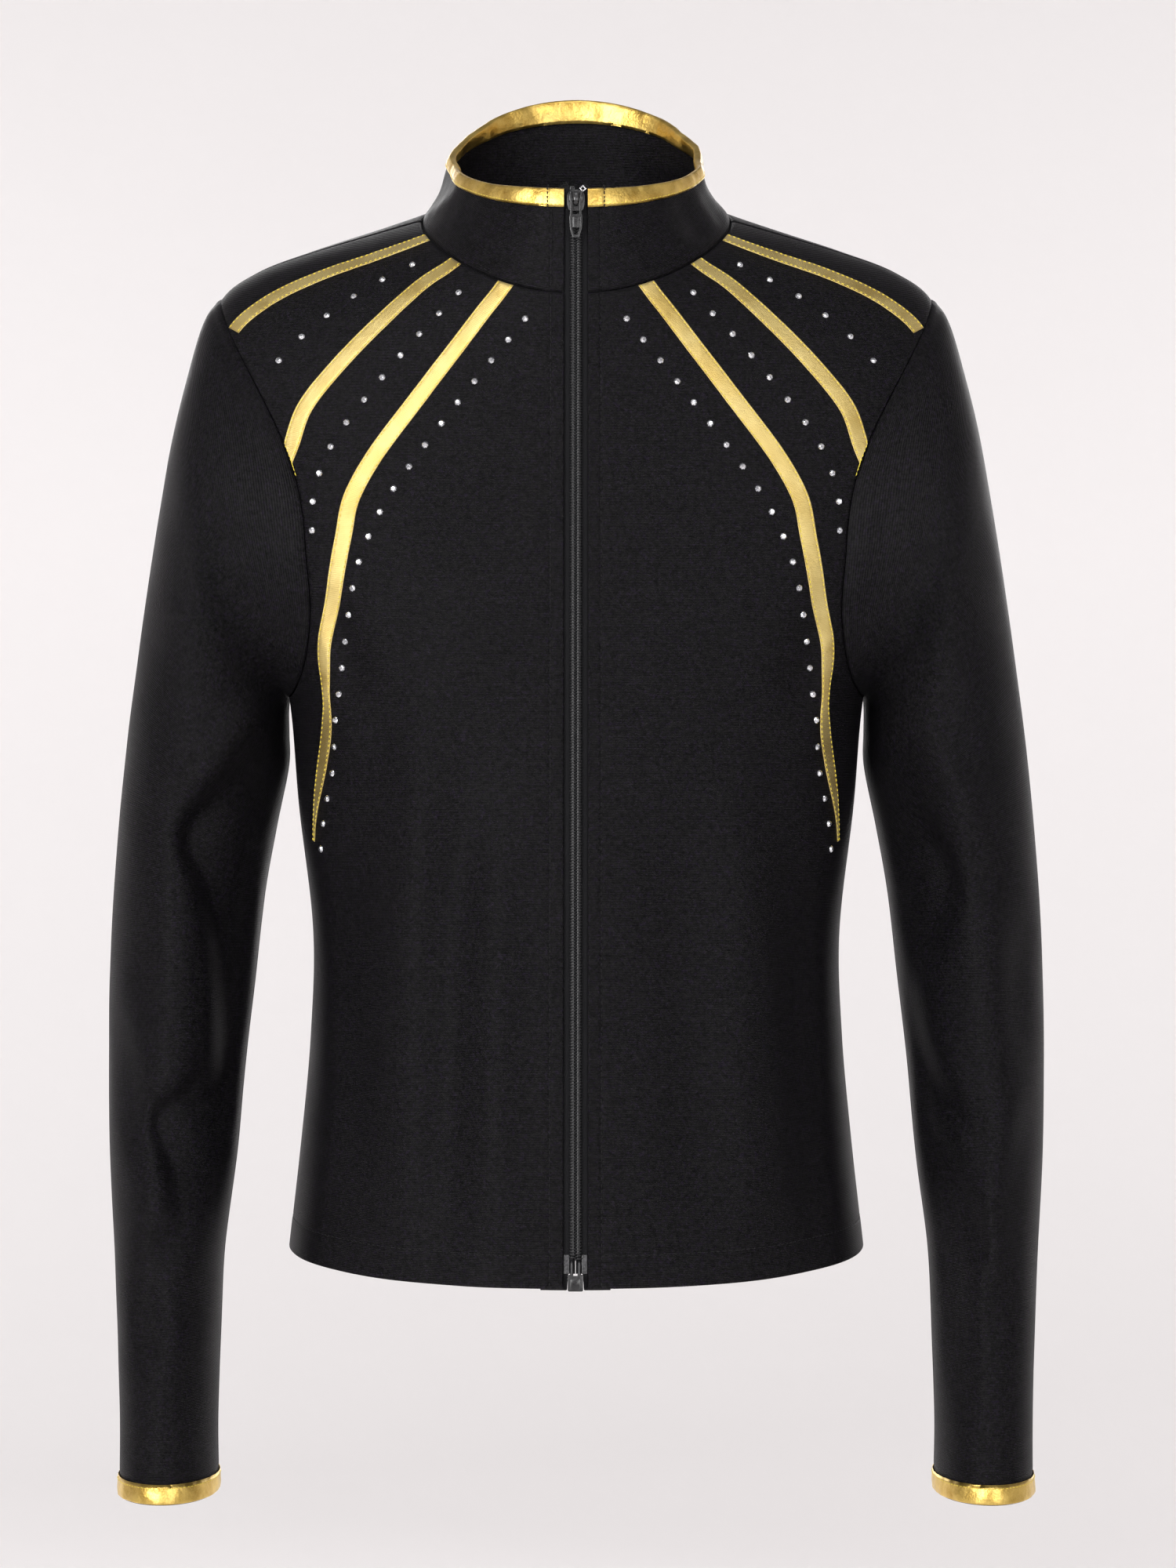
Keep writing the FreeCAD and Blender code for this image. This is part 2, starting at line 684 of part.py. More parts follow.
def slider():
    """Slider: front plate with side flanges, back plate, post between the coils, bail for the pull."""
    body = add_body("zip_slider", size("slider_centre"))
    low = "-Sheet.slider_half_length * Sheet.slider_low_share"
    high = "Sheet.slider_half_length * Sheet.slider_high_share"
    nose = "Sheet.slider_tail_half * Sheet.slider_high_share"
    plate = [("-Sheet.slider_tail_half", "-Sheet.slider_half_length"),
             ("Sheet.slider_tail_half", "-Sheet.slider_half_length"),
             ("Sheet.slider_half_width", low),
             ("Sheet.slider_half_width", high),
             (nose, "Sheet.slider_half_length"),
             ("-" + nose, "Sheet.slider_half_length"),
             ("-Sheet.slider_half_width", high),
             ("-Sheet.slider_half_width", low)]
    pad(body, plate, "Sheet.slider_plate_low", "Sheet.slider_plate_high")
    post = rectangle("-Sheet.slider_post_half", "Sheet.slider_post_half",
                     "Sheet.slider_post_low", "Sheet.slider_post_high")
    pad(body, post, "Sheet.slider_back_high - Sheet.slider_join",
        "Sheet.slider_plate_low + Sheet.slider_join")
    pad(body, plate, "Sheet.slider_back_low", "Sheet.slider_back_high")
    for side in (-1, 1):
        flange = rectangle(sided(side, "Sheet.slider_flange_inner"), sided(side, "Sheet.slider_half_width"),
                           low, high)
        pad(body, flange, "Sheet.slider_flange_low", "Sheet.slider_plate_low + Sheet.slider_join")
    sunk = "Sheet.slider_plate_high - Sheet.slider_join"
    bail = [("-Sheet.bail_outer", sunk),
            ("-Sheet.bail_inner", sunk),
            ("-Sheet.bail_inner", "Sheet.bail_window"),
            ("Sheet.bail_inner", "Sheet.bail_window"),
            ("Sheet.bail_inner", sunk),
            ("Sheet.bail_outer", sunk),
            ("Sheet.bail_outer", "Sheet.bail_window"),
            ("Sheet.bail_inner", "Sheet.bail_high"),
            ("-Sheet.bail_inner", "Sheet.bail_high"),
            ("-Sheet.bail_outer", "Sheet.bail_window")]
    pad(body, bail, "-Sheet.bail_half_width", "Sheet.bail_half_width", role="YZ_Plane")
    return body


def pull_tab():
    """Pull tab: cross bar under the bail, two arms, solid recessed tongue with a tapered tip."""
    body = add_body("zip_pull", size("slider_centre"))
    half = "Sheet.pull_half_thick"
    back, front = "Sheet.pull_pivot - Sheet.pull_half_thick", "Sheet.pull_pivot + Sheet.pull_half_thick"
    shoulder = "Sheet.pull_window_foot - Sheet.pull_step"
    pad(body, [("-Sheet.pull_neck_half", half), ("-Sheet.pull_neck_half", "Sheet.pull_window_foot"),
               ("-Sheet.pull_half_width", shoulder),
               ("-Sheet.pull_half_width", "Sheet.pull_shoulder"), ("-Sheet.pull_tip_half", "Sheet.pull_foot"),
               ("Sheet.pull_tip_half", "Sheet.pull_foot"), ("Sheet.pull_half_width", "Sheet.pull_shoulder"),
               ("Sheet.pull_half_width", shoulder),
               ("Sheet.pull_neck_half", "Sheet.pull_window_foot"), ("Sheet.pull_neck_half", half)],
        back, front)
    pocket(body, rectangle("-Sheet.pull_window_half", "Sheet.pull_window_half", "Sheet.pull_window_foot",
                           "-Sheet.pull_half_thick"),
           back + " - Sheet.pull_step", front)
    pocket(body, rectangle("-Sheet.pull_window_half - Sheet.pull_rim",
                           "Sheet.pull_window_half + Sheet.pull_rim",
                           "Sheet.pull_shoulder + Sheet.pull_rim", "Sheet.pull_window_foot - Sheet.pull_bar"),
           front + " - Sheet.pull_recess", front)
    return body


# ---------------------------------------------------------------- the jacket

def binding_station(columns_used, last):
    """Station at which the collar binding's lower edge lies, its height below the rim."""
    tall, step = size("binding_tall"), size("edge_step")
    rim = spline(columns_used[2], last)
    station = last
    while rim - spline(columns_used[2], station) < tall:
        station -= step
    return station


def soft_pieces():
    """Cloth and trim, as a list of document objects."""
    thick, proud = size("cloth_thick"), size("binding_proud")
    tape_space = size("zip_gap") - size("tape_back")
    pieces = [add_piece("back_panel", back_panel())]
    front, arm = front_panel(), tube_solid(0, LAST_CUFF - 1, 50, 0, -thick)
    cuff = tube_solid(LAST_CUFF - 1 + size("cuff_gap"), LAST_CUFF, 5, proud, -thick - proud)
    stripes = {name: stripe(route) for name, route in STRIPES.items()}
    stones = {name: stone_row(count, route) for name, (count, route) in STONE_ROWS.items()}
    for name, mirrored in (("left", False), ("right", True)):
        pieces.append(add_piece("front_panel_" + name, front, mirrored))
        pieces.append(add_piece("sleeve_" + name, arm, mirrored))
        pieces.append(add_piece("cuff_binding_" + name, cuff, mirrored))
        for place, shape in stripes.items():
            pieces.append(add_piece("stripe_%s_%s" % (place, name), shape, mirrored))
        for place, shape in stones.items():
            pieces.append(add_piece("stones_%s_%s" % (place, name), shape, mirrored))
    edge = binding_station(COLLAR_COLUMNS, LAST_COLLAR)
    start, stop, front = size("collar_start"), edge - size("collar_gap"), size("front_edge")
    outer = collar_layer(start, stop, front, 0, -thick)
    facing = collar_layer(start, stop, front + size("facing_short"), -tape_space, -tape_space - thick)
    binding = collar_layer(edge, LAST_COLLAR, front, proud, -tape_space - thick - proud)
    slot = tape_solid(size("tape_slot"))
    binding = binding.cut(slot).cut(slot.mirror(MIRROR_BASE, MIRROR_NORMAL))
    pieces.append(add_piece("collar_outer", outer))
    pieces.append(add_piece("collar_facing", facing))
    pieces.append(add_piece("collar_binding", binding))
    return pieces


def zip_pieces():
    """Hard parts of the zip, as a list of document objects."""
    pieces = zip_side(1, "left") + zip_side(-1, "right")
    pieces += [retainer_box(), pin("zip_box_pin", -1), pin("zip_insertion_pin", 1)]
    pieces += [slider(), pull_tab()]
    return pieces


parts = soft_pieces() + zip_pieces()
doc.recompute()

for item in doc.Objects:
    failed = [state for state in item.State if state in ("Invalid", "Error")]
    assert not failed, (item.Label, item.State)
for item in parts:
    assert not item.Shape.isNull() and item.Shape.isValid(), item.Label
    assert item.Shape.Volume > 0, item.Label

os.makedirs("parts", exist_ok=True)
for item in parts:
    item.Shape.exportStep(os.path.join("parts", item.Label + ".step"))
    print("%-24s %9.1f mm3" % (item.Label, item.Shape.Volume))
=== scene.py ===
import math

import bmesh
import bpy
import numpy as np
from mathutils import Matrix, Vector


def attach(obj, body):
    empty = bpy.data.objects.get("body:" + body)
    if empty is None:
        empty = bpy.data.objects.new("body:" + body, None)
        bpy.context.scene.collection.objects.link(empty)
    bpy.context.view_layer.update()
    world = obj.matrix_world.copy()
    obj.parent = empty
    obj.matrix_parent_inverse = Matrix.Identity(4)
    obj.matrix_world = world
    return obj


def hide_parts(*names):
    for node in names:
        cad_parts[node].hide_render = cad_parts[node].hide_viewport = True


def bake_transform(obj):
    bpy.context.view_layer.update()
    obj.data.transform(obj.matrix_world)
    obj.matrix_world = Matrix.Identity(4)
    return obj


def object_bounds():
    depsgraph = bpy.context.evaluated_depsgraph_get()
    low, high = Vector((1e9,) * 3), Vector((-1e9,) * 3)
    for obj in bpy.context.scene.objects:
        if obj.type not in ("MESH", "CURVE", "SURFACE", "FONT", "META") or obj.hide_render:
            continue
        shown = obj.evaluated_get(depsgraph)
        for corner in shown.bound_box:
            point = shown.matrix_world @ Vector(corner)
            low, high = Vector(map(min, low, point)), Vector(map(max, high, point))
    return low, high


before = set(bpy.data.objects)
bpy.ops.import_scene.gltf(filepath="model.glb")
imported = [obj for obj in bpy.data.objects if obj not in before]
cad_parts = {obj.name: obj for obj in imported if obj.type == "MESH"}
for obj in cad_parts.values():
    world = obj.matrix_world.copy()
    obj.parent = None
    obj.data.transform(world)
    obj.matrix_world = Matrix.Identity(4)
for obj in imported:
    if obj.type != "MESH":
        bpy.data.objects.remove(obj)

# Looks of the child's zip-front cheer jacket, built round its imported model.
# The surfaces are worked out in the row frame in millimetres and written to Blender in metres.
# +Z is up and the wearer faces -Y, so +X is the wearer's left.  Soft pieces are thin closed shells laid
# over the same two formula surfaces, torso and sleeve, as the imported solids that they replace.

cad_low, cad_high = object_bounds()

MM = 0.001
SIDES = (("left", 1), ("right", -1))

# ---------------------------------------------------------------- stations of the garment's surfaces

FRONT_FORWARD = 60.0
FRONT_LEAN = 0.125
FRONT_EDGE = 4.9
ARMHOLE_HIGH, ARMHOLE_LOW = 3.88, 8.08
ARMHOLE_FRONT, ARMHOLE_REAR = 29.0, 25.0
ARMHOLE_SQUARE = 2.7
SLEEVE_JOIN = 3.0

# Rings of the torso from neck to hem: half width, rear reach, height in front, at the side and behind,
# and how square the plan is.
RINGS = np.array([
    (66.5, 58, -40, 0, 12, 2.0), (89, 68, -60, -6.5, -8, 2.05), (114, 78, -82, -14, -32, 2.1),
    (138, 86, -106, -23, -60, 2.2), (154, 91, -130, -36, -88, 2.3), (160, 93, -152, -63, -114, 2.35),
    (153, 93, -176, -100, -142, 2.35), (137, 91, -202, -148, -174, 2.35), (124, 86, -232, -200, -210, 2.3),
    (119, 80, -270, -252, -258, 2.3), (113, 74, -315, -305, -305, 2.25), (114, 75, -357, -350, -350, 2.25),
    (118, 79, -400, -395, -397, 2.25), (123, 84, -444, -440, -442, 2.25)], float)
COLLAR_RINGS = np.array([
    (66.5, 58, -40, 0, 12, 2.0), (57.5, 54, -18, 13, 35, 2.0), (53.5, 51, 4, 27, 62, 2.0)], float)
# Sleeve stations from armhole to cuff: underarm line across and up, outer line across and up, depth
# before and behind the arm, that centre's place, and how far the station is dished.
SLEEVE_STATIONS = np.array([
    (124.0, -201, 155, -35, 58, 0, 26), (124.4, -205, 161, -43, 60, 0, 20),
    (124.3, -212, 167, -66, 60, 0, 12),
    (124.0, -222, 175.5, -107, 58, 0, 5), (124.2, -236, 185, -165, 54, 0, 1),
    (129.5, -262, 193.5, -228, 50, 1, 0), (134.5, -290, 198.5, -280, 47, 2, 0),
    (138.5, -325, 200.8, -325, 44, 2, 0), (142.5, -361, 201, -361, 42, 0, 0),
    (146.0, -402, 200, -402, 39, -4, 0), (150.8, -442, 197.5, -442, 36, -8, 0),
    (152.2, -480, 195.6, -480, 34, -12, 0), (153.0, -513, 194.4, -513, 33, -15, 0),
    (152.6, -535, 194.2, -535, 33, -17, 0), (152.4, -543.5, 194.6, -543.5, 33.5, -18, 0)], float)
LAST_RING = len(RINGS) - 1
LAST_COLLAR = len(COLLAR_RINGS) - 1
LAST_CUFF = len(SLEEVE_STATIONS) - 1

# Centre lines of the stripes and rows of stones: degrees round from the centre front, and torso station.
STRIPES = {
    "outer": ((70.5, 0.08), (74.0, 0.9), (77.4, 1.9), (78.6, 2.9), (78.9, 3.84)),
    "middle": ((50.0, 0.16), (55.2, 0.85), (59.4, 1.95), (62.2, 3.0), (63.7, 3.8), (64.0, 4.45),
               (64.6, 4.85)),
    "inner": ((27.0, 0.12), (34.4, 1.0), (43.0, 2.25), (49.7, 3.5), (53.4, 4.6), (54.4, 5.5), (56.4, 6.5),
              (60.0, 7.3), (61.4, 8.0), (64.0, 8.5), (69.2, 9.2)),
}
STONE_ROWS = {
    "outer": (6, ((62.7, 0.65), (66.8, 1.45), (69.0, 2.4), (70.2, 3.5))),
    "middle": (11, ((42.6, 0.6), (49.8, 1.74), (54.8, 2.9), (58.2, 4.0), (59.5, 4.9), (59.6, 5.6))),
    "inner": (23, ((18.0, 0.67), (29.4, 1.76), (39.2, 2.92), (46.4, 4.15), (50.8, 5.45), (53.8, 6.7),
                   (56.6, 7.5), (59.4, 8.1), (60.3, 8.5), (65.9, 9.24))),
}

# Soft creases, each a path of (across, up) points, how high it stands (a valley is negative), and how
# wide it is on the left and on the right of its path.
BODY_CREASES = (
    (((-62, -190), (-66, -260), (-70, -340), (-74, -460)), 2.6, 16, 12),
    (((-44, -220), (-50, -300), (-50, -380), (-56, -460)), -2.2, 12, 12),
    (((-28, -250), (-34, -330), (-36, -460)), 1.6, 12, 12),
    (((-92, -230), (-94, -300), (-92, -380), (-96, -455)), -1.8, 12, 12),
    (((40, -230), (44, -320), (50, -460)), -1.4, 14, 14),
    (((66, -220), (72, -300), (74, -380), (78, -460)), 2.4, 14, 14),
    (((90, -240), (92, -320), (96, -400), (100, -460)), -1.9, 12, 12),
    (((-118, -150), (-98, -182), (-86, -214)), -1.8, 9, 10),
    (((118, -150), (99, -184), (88, -218)), -1.8, 9, 10),
    (((-112, -196), (-100, -214), (-84, -236)), 1.2, 8, 9),
    (((112, -196), (100, -216), (86, -238)), 1.2, 8, 9),
)
BACK_CREASES = (
    (((-70, -150), (-60, -230), (-58, -320), (-64, -460)), 2.4, 18, 14),
    (((70, -150), (62, -230), (56, -330), (62, -460)), 2.2, 14, 18),
    (((-30, -230), (-26, -320), (-32, -460)), -2.0, 14, 14),
    (((34, -220), (28, -330), (30, -460)), -2.0, 14, 14),
    (((0, -270), (2, -350), (0, -460)), 1.8, 12, 12),
    (((-112, -150), (-92, -190), (-78, -226)), -2.0, 9, 11),
    (((112, -150), (92, -192), (78, -228)), -2.0, 9, 11),
    (((-46, -292), (0, -300), (46, -292)), -1.3, 9, 9),
    (((-90, -240), (-92, -330), (-92, -455)), -1.6, 12, 12),
    (((90, -240), (92, -330), (92, -455)), -1.6, 12, 12),
)
SLEEVE_CREASES = {
    "right": (
        (((-124, -214), (-142, -240), (-162, -263), (-156, -284), (-150, -310), (-148, -350), (-152, -372),
          (-170, -383)), -6.5, 45, 4),
        (((-128, -204), (-148, -232), (-170, -252)), 3.0, 8, 9),
        (((-172, -262), (-168, -300), (-167, -350), (-176, -378)), 2.4, 10, 12),
        (((-150, -352), (-162, -372), (-175, -384), (-168, -408), (-163, -440)), -5.0, 36, 4),
        (((-176, -392), (-178, -420), (-172, -462), (-168, -520)), 2.0, 8, 10),
        (((-166, -420), (-176, -452), (-180, -500)), -2.6, 8, 8),
        (((-196, -330), (-188, -372), (-184, -410)), -1.6, 7, 10),
    ),
    "left": (
        (((128, -226), (146, -262), (156, -284), (150, -306), (140, -330)), -5.0, 5, 36),
        (((138, -212), (158, -244), (172, -276)), 2.2, 9, 9),
        (((138, -316), (142, -346), (152, -372), (166, -392)), -4.5, 5, 34),
        (((166, -270), (172, -320), (178, -370), (184, -400)), 2.6, 12, 10),
        (((184, -366), (177, -400), (171, -440), (168, -476)), 2.6, 7, 8),
        (((142, -372), (156, -404), (167, -430), (172, -462)), -4.0, 5, 20),
        (((158, -430), (160, -470), (163, -520)), -2.2, 7, 8),
        (((194, -280), (186, -330), (190, -372)), -1.5, 8, 9),
    ),
}
SLEEVE_BACK_CREASES = (
    (((128, -250), (160, -282), (196, -300)), -3.4, 9, 7),
    (((132, -300), (165, -318), (198, -316)), -3.8, 7, 8),
    (((138, -352), (168, -344), (200, -334)), -3.0, 7, 9),
    (((150, -240), (168, -330), (172, -420)), 2.2, 14, 14),
    (((146, -400), (170, -420), (196, -410)), -2.4, 8, 8),
    (((152, -460), (176, -470), (194, -462)), -1.8, 7, 7),
)
BODY_FOLD_DEPTH = 2.0
SLEEVE_FOLD_DEPTH = 1.5
BODY_RIPPLE_SEED = 3
SLEEVE_RIPPLE_SEEDS = {"left": 5, "right": 6}

# ---------------------------------------------------------------- formula surfaces, in millimetres

def spline(table, at):
    """Catmull-Rom curve through evenly spaced rows of a table."""
    table = np.asarray(table, float)
    at = np.asarray(at, float)
    padded = np.concatenate([[2 * table[0] - table[1]], table, [2 * table[-1] - table[-2]]])
    low = np.clip(at.astype(int), 0, len(table) - 2)
    part = (at - low)[..., None]
    before, here, after, beyond = (padded[low + i] for i in range(4))
    return 0.5 * (2 * here + (after - before) * part
                  + (2 * before - 5 * here + 4 * after - beyond) * part ** 2
                  + (3 * here - before - 3 * after + beyond) * part ** 3)


def front_depth(z):
    """How far the straight centre-front line stands before the seam plane at height z."""
    return FRONT_FORWARD - FRONT_LEAN * z


def ring_points(fields, angle):
    """Points of rings, angle in degrees from the centre front towards the wearer's left."""
    half_width, rear, front_z, side_z, rear_z, square = np.moveaxis(fields, -1, 0)
    across, ahead = np.sin(np.radians(angle)), np.cos(np.radians(angle))
    depth = np.where(ahead >= 0, front_depth(front_z), rear)
    reach = (np.abs(across / half_width) ** square + np.abs(ahead / depth) ** square) ** (-1 / square)
    share = reach * ahead / depth
    height = side_z + (front_z - rear_z) / 2 * share + ((front_z + rear_z) / 2 - side_z) * share ** 2
    return np.stack([reach * across, -reach * ahead, height], -1)


def torso(angle, station):
    angle, station = np.broadcast_arrays(angle, station)
    return ring_points(spline(RINGS, station), angle)


def collar(angle, station):
    angle, station = np.broadcast_arrays(angle, station)
    return ring_points(spline(COLLAR_RINGS, station), angle)


def armhole_bulge(station):
    """How far the armhole loop reaches from the side seam at a station, as a share of its deepest."""
    middle, reach = (ARMHOLE_HIGH + ARMHOLE_LOW) / 2, (ARMHOLE_LOW - ARMHOLE_HIGH) / 2
    share = np.abs((station - middle) / reach)
    return np.maximum(0, 1 - share ** ARMHOLE_SQUARE) ** (1 / ARMHOLE_SQUARE)


def armhole(turn):
    """Torso coordinates of the armhole loop; turn 0 is the top, 90 the front, 180 the underarm."""
    middle, reach = (ARMHOLE_HIGH + ARMHOLE_LOW) / 2, (ARMHOLE_LOW - ARMHOLE_HIGH) / 2
    station = middle - reach * np.cos(np.radians(turn))
    bulge = armhole_bulge(station)
    ahead = np.sin(np.radians(turn)) >= 0
    return np.where(ahead, 90 - ARMHOLE_FRONT * bulge, 90 + ARMHOLE_REAR * bulge), station


def sleeve_ring(turn, station):
    """Points of the plain sleeve tube, before its start is drawn onto the armhole."""
    fields = np.moveaxis(spline(SLEEVE_STATIONS, station), -1, 0)
    under_x, under_z, outer_x, outer_z, depth, centre_y, dish = fields
    up, ahead = np.cos(np.radians(turn)), np.sin(np.radians(turn))
    span_x, span_z = outer_x - under_x, outer_z - under_z
    length = np.hypot(span_x, span_z)
    pull = dish * ahead ** 2 / length
    return np.stack([(outer_x + under_x) / 2 + span_x * up / 2 + span_z * pull,
                     centre_y - depth * ahead,
                     (outer_z + under_z) / 2 + span_z * up / 2 - span_x * pull], -1)


def sleeve(turn, station):
    """Sleeve surface on the wearer's left: starts at the armhole loop, runs to the cuff."""
    turn, station = np.broadcast_arrays(turn, station)
    drawn = np.clip(1 - station / SLEEVE_JOIN, 0, 1)[..., None] ** 2
    gap = torso(*armhole(turn)) - sleeve_ring(turn, np.zeros_like(station, float))
    return sleeve_ring(turn, station) + gap * drawn


def normals(surface, angle, station):
    """Outward unit normals of a surface by central differences."""
    across = surface(angle + 0.5, station) - surface(angle - 0.5, station)
    along = surface(angle, station + 0.05) - surface(angle, np.maximum(0, station - 0.05))
    outward = np.cross(along, across) if surface is torso else np.cross(across, along)
    return outward / np.linalg.norm(outward, axis=-1, keepdims=True)


def run_along(points):
    """Length up to each point of a row of points."""
    return np.concatenate([[0], np.cumsum(np.linalg.norm(np.diff(points, axis=0), axis=-1))])


def mean_run_along(grid):
    """Mean length up to each row of a grid of points."""
    return np.concatenate([[0], np.cumsum(np.linalg.norm(np.diff(grid, axis=0), axis=-1).mean(1))])


def to_side(name):
    """Factors that carry a point on the wearer's left over to the named side."""
    return np.array([1.0 if name == "left" else -1.0, 1, 1])


# ---------------------------------------------------------------- creases and ripples

def smooth(low, high, value):
    """0 below low, 1 above high, eased between."""
    t = np.clip((value - low) / (high - low), 0, 1)
    return t * t * (3 - 2 * t)


def crease(x, z, path, height, left, right):
    """Height of one crease at points across x and up z."""
    fine = spline(path, np.linspace(0, len(path) - 1, 26))
    place = np.stack([x, z], -1)[..., None, :]
    start, step = fine[:-1], np.diff(fine, axis=0)
    share = np.clip(((place - start) * step).sum(-1) / (step ** 2).sum(-1), 0, 1)
    gap = place - (start + share[..., None] * step)
    apart = np.hypot(gap[..., 0], gap[..., 1])
    nearest = apart.argmin(-1)[..., None]
    apart = np.take_along_axis(apart, nearest, -1)[..., 0]
    turn = np.take_along_axis(step[:, 0] * gap[..., 1] - step[:, 1] * gap[..., 0], nearest, -1)[..., 0]
    along = (nearest[..., 0] + np.take_along_axis(share, nearest, -1)[..., 0]) / len(step)
    width = np.where(turn > 0, left, right)
    return height * np.exp(-(apart / width) ** 2) * smooth(0, 0.3, along) * smooth(0, 0.3, 1 - along)


def creases(x, z, table):
    return sum(crease(x, z, *row) for row in table)


def ripples(points, seed, wavelength, height):
    """Slow uneven waves over a surface: a sum of sines in seeded directions."""
    dice = np.random.default_rng(seed)
    total = np.zeros(points.shape[:-1])
    for wave in range(10):
        direction = dice.normal(size=3)
        direction *= dice.uniform(0.6, 1.5) / np.linalg.norm(direction)
        total += np.sin(points @ direction * 2 * math.pi / wavelength + dice.uniform(0, 2 * math.pi))
    return height * total / 3


def torso_place(angle, station, height=0.0):
    """Points over the draped torso at a height above its face."""
    angle, station = np.broadcast_arrays(np.asarray(angle, float), np.asarray(station, float))
    points, outward = torso(angle, station), normals(torso, angle, station)
    x, z = points[..., 0], points[..., 2]
    front, back = smooth(0.15, 0.7, -outward[..., 1]), smooth(0.15, 0.7, outward[..., 1])
    away = np.abs(np.abs(((angle + 180) % 360) - 180) - 90)
    reach = np.where(outward[..., 1] < 0, ARMHOLE_FRONT, ARMHOLE_REAR) * armhole_bulge(station)
    clear = smooth(0, 9, away - reach) * smooth(12, 30, np.where(outward[..., 1] < 0, np.abs(x), 90))
    lift = BODY_FOLD_DEPTH * (front * creases(x, z, BODY_CREASES) + back * creases(x, z, BACK_CREASES))
    lift = (lift + ripples(points, BODY_RIPPLE_SEED, 46, 0.28)) * clear * smooth(0, 1.2, station)
    side = np.where(outward[..., 1:2] < 0, -1.0, 1.0) * np.array([0, 1.0, 0])
    return points + outward * np.asarray(height)[..., None] + side * lift[..., None]


def sleeve_place(name, turn, station, height=0.0):
    """Points over the creased sleeve of one side at a height above its face."""
    turn, station = np.broadcast_arrays(np.asarray(turn, float), np.asarray(station, float))
    mirror = to_side(name)
    points, outward = sleeve(turn, station) * mirror, normals(sleeve, turn, station) * mirror
    x, z = points[..., 0], points[..., 2]
    front, back = smooth(0.05, 0.5, -outward[..., 1]), smooth(0.05, 0.5, outward[..., 1])
    lift = front * creases(x, z, SLEEVE_CREASES[name]) + back * creases(np.abs(x), z, SLEEVE_BACK_CREASES)
    calm = smooth(0, 3.2, station) * smooth(0, 1.5, LAST_CUFF - station)
    rippled = ripples(points, SLEEVE_RIPPLE_SEEDS[name], 40, 0.35) * smooth(0, 1.5, station)
    lift = SLEEVE_FOLD_DEPTH * lift * calm + rippled
    side = np.where(outward[..., 1:2] < 0, -1.0, 1.0) * np.array([0, 1.0, 0])
    return points + outward * np.asarray(height)[..., None] + side * lift[..., None]


# ---------------------------------------------------------------- meshes

def new_object(name, points, faces, material, coords=None, sharp=None):
    """Mesh object from points in millimetres and faces; coords gives each face corner its UV in metres."""
    mesh = bpy.data.meshes.new(name)
    mesh.from_pydata((np.asarray(points) * MM).tolist(), [], [list(map(int, face)) for face in faces])
    if coords is not None:
        layer = mesh.uv_layers.new(name="cloth")
        layer.data.foreach_set("uv", (np.asarray(coords) * MM).astype(np.float32).ravel())
    made = bmesh.new()
    made.from_mesh(mesh)
    bmesh.ops.recalc_face_normals(made, faces=made.faces)
    made.to_mesh(mesh)
    made.free()
    mesh.polygons.foreach_set("use_smooth", [sharp != 0] * len(mesh.polygons))
    if sharp:
        mesh.set_sharp_from_angle(angle=math.radians(sharp))
    mesh.materials.append(material)
    piece = bpy.data.objects.new(name, mesh)
    bpy.context.scene.collection.objects.link(piece)
    return piece


def grid_quads(rows, columns, wrap=False):
    """Corner indices of the quads of a grid, as (rows, columns) index pairs."""
    row, column = np.meshgrid(np.arange(rows - 1), np.arange(columns if wrap else columns - 1), indexing="ij")
    corner_rows = np.stack([row, row, row + 1, row + 1], -1).reshape(-1, 4)
    corner_columns = np.stack([column, column + 1, column + 1, column], -1).reshape(-1, 4)
    return corner_rows, corner_columns


def shell(name, outer, inner, coords, material, wrap=False):
    """Closed thin piece between two grids of points; coords has one more column if it wraps."""
    rows, columns = outer.shape[:2]
    corner_rows, corner_columns = grid_quads(rows, columns, wrap)
    faces = [corner_rows * columns + corner_columns % columns]
    faces.append(faces[0][:, ::-1] + rows * columns)
    uv = coords[corner_rows, corner_columns]
    maps = [uv, uv[:, ::-1]]
    edges = [(np.zeros(columns + wrap, int), np.arange(columns + wrap)),
             (np.full(columns + wrap, rows - 1), np.arange(columns + wrap))]
    if not wrap:
        edges += [(np.arange(rows), np.zeros(rows, int)), (np.arange(rows), np.full(rows, columns - 1))]
    for edge_rows, edge_columns in edges:
        index = edge_rows * columns + edge_columns % columns
        under = index + rows * columns
        faces.append(np.stack([index[:-1], index[1:], under[1:], under[:-1]], -1))
        side = coords[edge_rows, edge_columns]
        maps.append(np.stack([side[:-1], side[1:], side[1:], side[:-1]], 1))
    points = np.concatenate([outer.reshape(-1, 3), inner.reshape(-1, 3)])
    return new_object(name, points, np.concatenate(faces), material, np.concatenate(maps).reshape(-1, 2))


def tube(path, up, wide, thick, sides=6):
    """Points and faces of a closed tube along a path of given half width and half thickness."""
    path, up = np.asarray(path, float), np.asarray(up, float)
    ahead = np.gradient(path, axis=0)
    ahead /= np.linalg.norm(ahead, axis=-1, keepdims=True)
    side = np.cross(ahead, np.broadcast_to(up, path.shape))
    side /= np.linalg.norm(side, axis=-1, keepdims=True)
    rise = np.cross(side, ahead)
    turn = np.linspace(0, 2 * math.pi, sides, endpoint=False)
    wide, thick = (np.broadcast_to(np.asarray(v, float), len(path))[:, None, None] for v in (wide, thick))
    ring = (path[:, None] + side[:, None] * np.cos(turn)[None, :, None] * wide
            + rise[:, None] * np.sin(turn)[None, :, None] * thick)
    corner_rows, corner_columns = grid_quads(len(path), sides, True)
    faces = (corner_rows * sides + corner_columns % sides).tolist()
    faces += [list(range(sides))[::-1], [(len(path) - 1) * sides + i for i in range(sides)]]
    return ring.reshape(-1, 3), faces


